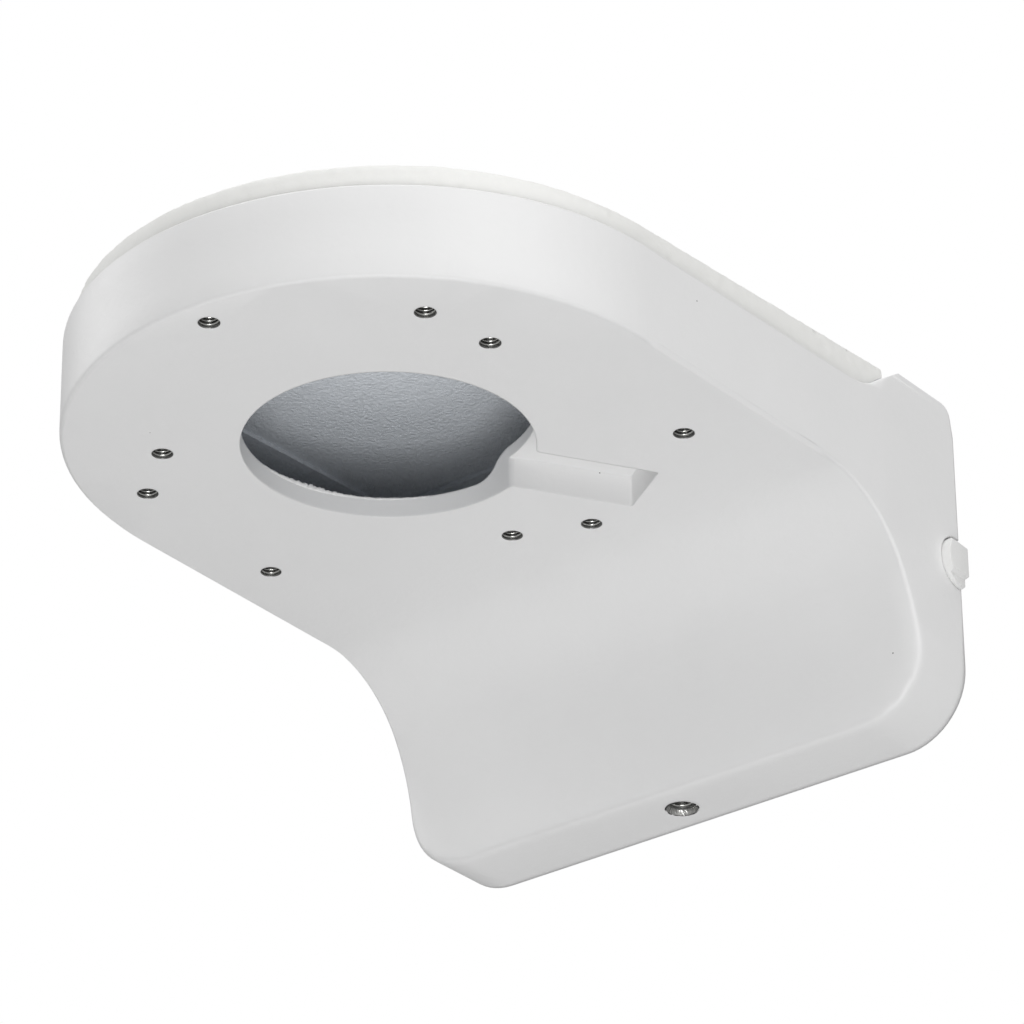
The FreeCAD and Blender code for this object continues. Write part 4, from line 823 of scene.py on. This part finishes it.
class BRACKET_OT_cut_threads(bpy.types.Operator):
    """Cuts the threads of the camera's nine holes and of the locking screw's hole"""

    bl_idname = "bracket.cut_threads"
    bl_label = "Cut the threads"

    def execute(self, context):
        sizes = context.scene.bracket_threads
        metal = cut_thread_metal()
        tree = thread_tree()
        start = UNDERSIDE + 0.5 * sizes.camera_pitch / MM
        spots = [(x, y, start) for x, y in hole_spots()]
        cut_thread("camera_threads", tree, spots, sizes.camera_radius, sizes.camera_ridge,
                   sizes.camera_pitch, HOLE_DEPTH * MM - sizes.camera_pitch, metal)
        low = LOCK_THREAD_LOW + 0.5 * sizes.lock_pitch / MM
        depth = (LOCK_SCREW_LOW - LOCK_THREAD_LOW) * MM - sizes.lock_pitch
        cut_thread("locking_thread", tree, [(0.0, LOCK_Y, low)], sizes.lock_radius, sizes.lock_ridge,
                   sizes.lock_pitch, depth, metal)
        make_lock_mouth(metal)
        return {"FINISHED"}


class BRACKET_OT_texture_cover(bpy.types.Operator):
    """Makes the cover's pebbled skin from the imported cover"""

    bl_idname = "bracket.texture_cover"
    bl_label = "Texture the cover"

    def execute(self, context):
        looks = context.scene.bracket_looks
        make_cover(looks, textured_coat(looks))
        return {"FINISHED"}


class BRACKET_OT_mould_plug(bpy.types.Operator):
    """Softens the side plug's edges"""

    bl_idname = "bracket.mould_plug"
    bl_label = "Mould the plug"

    def execute(self, context):
        make_plug(context.scene.bracket_looks, plug_rubber())
        return {"FINISHED"}


class BRACKET_OT_finish_hardware(bpy.types.Operator):
    """Finishes the seal, the screws and the wall plate"""

    bl_idname = "bracket.finish_hardware"
    bl_label = "Finish seal, screws and plate"

    def execute(self, context):
        steel = screw_steel()
        coat("cover_gasket", seal_rubber())
        coat("cover_screws", steel)
        coat("lock_screw", steel)
        coat("wall_plate", zinc_sheet())
        return {"FINISHED"}


class BRACKET_OT_set_stage(bpy.types.Operator):
    """Sets the floor, the lights and the camera"""

    bl_idname = "bracket.set_stage"
    bl_label = "Set the stage"

    def execute(self, context):
        studio = context.scene.bracket_studio
        add_floor(studio)
        add_lights(studio)
        add_camera(context, studio)
        context.scene.view_settings.view_transform = "Standard"
        return {"FINISHED"}


def add_floor(studio):
    mesh = bpy.data.meshes.new("floor")
    edge = 3.0
    low = -studio.floor_drop
    corners = [(-edge, -edge, low), (edge, -edge, low), (edge, edge, low), (-edge, edge, low)]
    mesh.from_pydata(corners, [], [(0, 1, 2, 3)])
    floor = bpy.data.objects.new("floor", mesh)
    bpy.context.scene.collection.objects.link(floor)
    material, tree = new_material("Pale studio floor")
    shader = add_node(tree, "ShaderNodeBsdfPrincipled", {"Base Color": linear("#E6E6E6"), "Roughness": 0.8})
    finish_material(tree, shader)
    mesh.materials.append(material)


def add_panel_light(name, size, power, place, target):
    """A soft rectangular light that shines on the target and isn't seen itself."""
    data = bpy.data.lights.new(name, "AREA")
    data.shape = "RECTANGLE"
    data.size, data.size_y = size
    data.energy = power
    lamp = bpy.data.objects.new(name, data)
    lamp.location = place
    lamp.rotation_euler = (Vector(target) - Vector(place)).to_track_quat("-Z", "Y").to_euler()
    lamp.visible_camera = False
    bpy.context.scene.collection.objects.link(lamp)


def add_lights(studio):
    world = bpy.data.worlds.new("White studio")
    bpy.context.scene.world = world
    world.use_nodes = True
    tree = world.node_tree
    tree.nodes.clear()
    path = add_node(tree, "ShaderNodeLightPath")
    light = add_node(tree, "ShaderNodeBackground", {"Color": (1.0, 1.0, 1.0, 1.0), "Strength": studio.sky})
    seen = add_node(tree, "ShaderNodeBackground", {"Color": (1.0, 1.0, 1.0, 1.0), "Strength": 1.0})
    mixed = add_node(tree, "ShaderNodeMixShader", {
        0: path.outputs["Is Camera Ray"], 1: light.outputs[0], 2: seen.outputs[0]})
    add_node(tree, "ShaderNodeOutputWorld", {"Surface": mixed.outputs[0]})
    head = (0.0, -0.08, 0.0)
    add_panel_light("low", (0.4, 0.4), studio.low_power, (0.45, -0.6, -0.62), head)
    add_panel_light("right", (0.6, 0.6), studio.right_power, (0.9, -0.3, 0.5), head)
    add_panel_light("left", (0.6, 0.6), studio.left_power, (-0.9, -0.4, 0.5), head)
    add_panel_light("top", (1.2, 1.2), studio.top_power, (0.1, -0.3, 1.1), head)


def add_camera(context, studio):
    """The photograph's camera: below the bracket, on its right, looking up."""
    data = bpy.data.cameras.new("photo camera")
    data.sensor_width = 36.0
    data.lens = studio.lens
    data.clip_start = 0.01
    camera = bpy.data.objects.new("photo camera", data)
    right = Vector((0.78684, 0.61713, -0.00785))
    up = Vector((0.30037, -0.37180, 0.87838))
    back = Vector((0.53915, -0.69349, -0.47790))
    turn = Matrix((right, up, back)).transposed().to_4x4()
    camera.matrix_world = Matrix.Translation((0.5334, -0.7466, -0.4671)) @ turn
    context.scene.collection.objects.link(camera)
    context.scene.camera = camera


class BRACKET_PT_steps(bpy.types.Panel):
    """Steps of the bracket's looks"""

    bl_idname = "BRACKET_PT_steps"
    bl_label = "Camera bracket"
    bl_space_type = "VIEW_3D"
    bl_region_type = "UI"
    bl_category = "Bracket"

    def draw(self, context):
        for step in STEPS:
            self.layout.operator(step.bl_idname)
        for name in ("bracket_looks", "bracket_threads", "bracket_studio"):
            group = getattr(context.scene, name)
            box = self.layout.box()
            for key in group.__annotations__:
                box.prop(group, key)


STEPS = (
    BRACKET_OT_coat_casting,
    BRACKET_OT_cut_threads,
    BRACKET_OT_texture_cover,
    BRACKET_OT_mould_plug,
    BRACKET_OT_finish_hardware,
    BRACKET_OT_set_stage,
)
GROUPS = (BracketLooks, BracketThreads, BracketStudio)


def register():
    for group in GROUPS:
        bpy.utils.register_class(group)
    for step in STEPS:
        bpy.utils.register_class(step)
    bpy.utils.register_class(BRACKET_PT_steps)
    bpy.types.Scene.bracket_looks = bpy.props.PointerProperty(type=BracketLooks)
    bpy.types.Scene.bracket_threads = bpy.props.PointerProperty(type=BracketThreads)
    bpy.types.Scene.bracket_studio = bpy.props.PointerProperty(type=BracketStudio)


def unregister():
    del bpy.types.Scene.bracket_studio
    del bpy.types.Scene.bracket_threads
    del bpy.types.Scene.bracket_looks
    bpy.utils.unregister_class(BRACKET_PT_steps)
    for step in reversed(STEPS):
        bpy.utils.unregister_class(step)
    for group in reversed(GROUPS):
        bpy.utils.unregister_class(group)


def main():
    register()
    bpy.ops.bracket.coat_casting()
    bpy.ops.bracket.cut_threads()
    bpy.ops.bracket.texture_cover()
    bpy.ops.bracket.mould_plug()
    bpy.ops.bracket.finish_hardware()
    bpy.ops.bracket.set_stage()


if __name__ == "__main__":
    main()
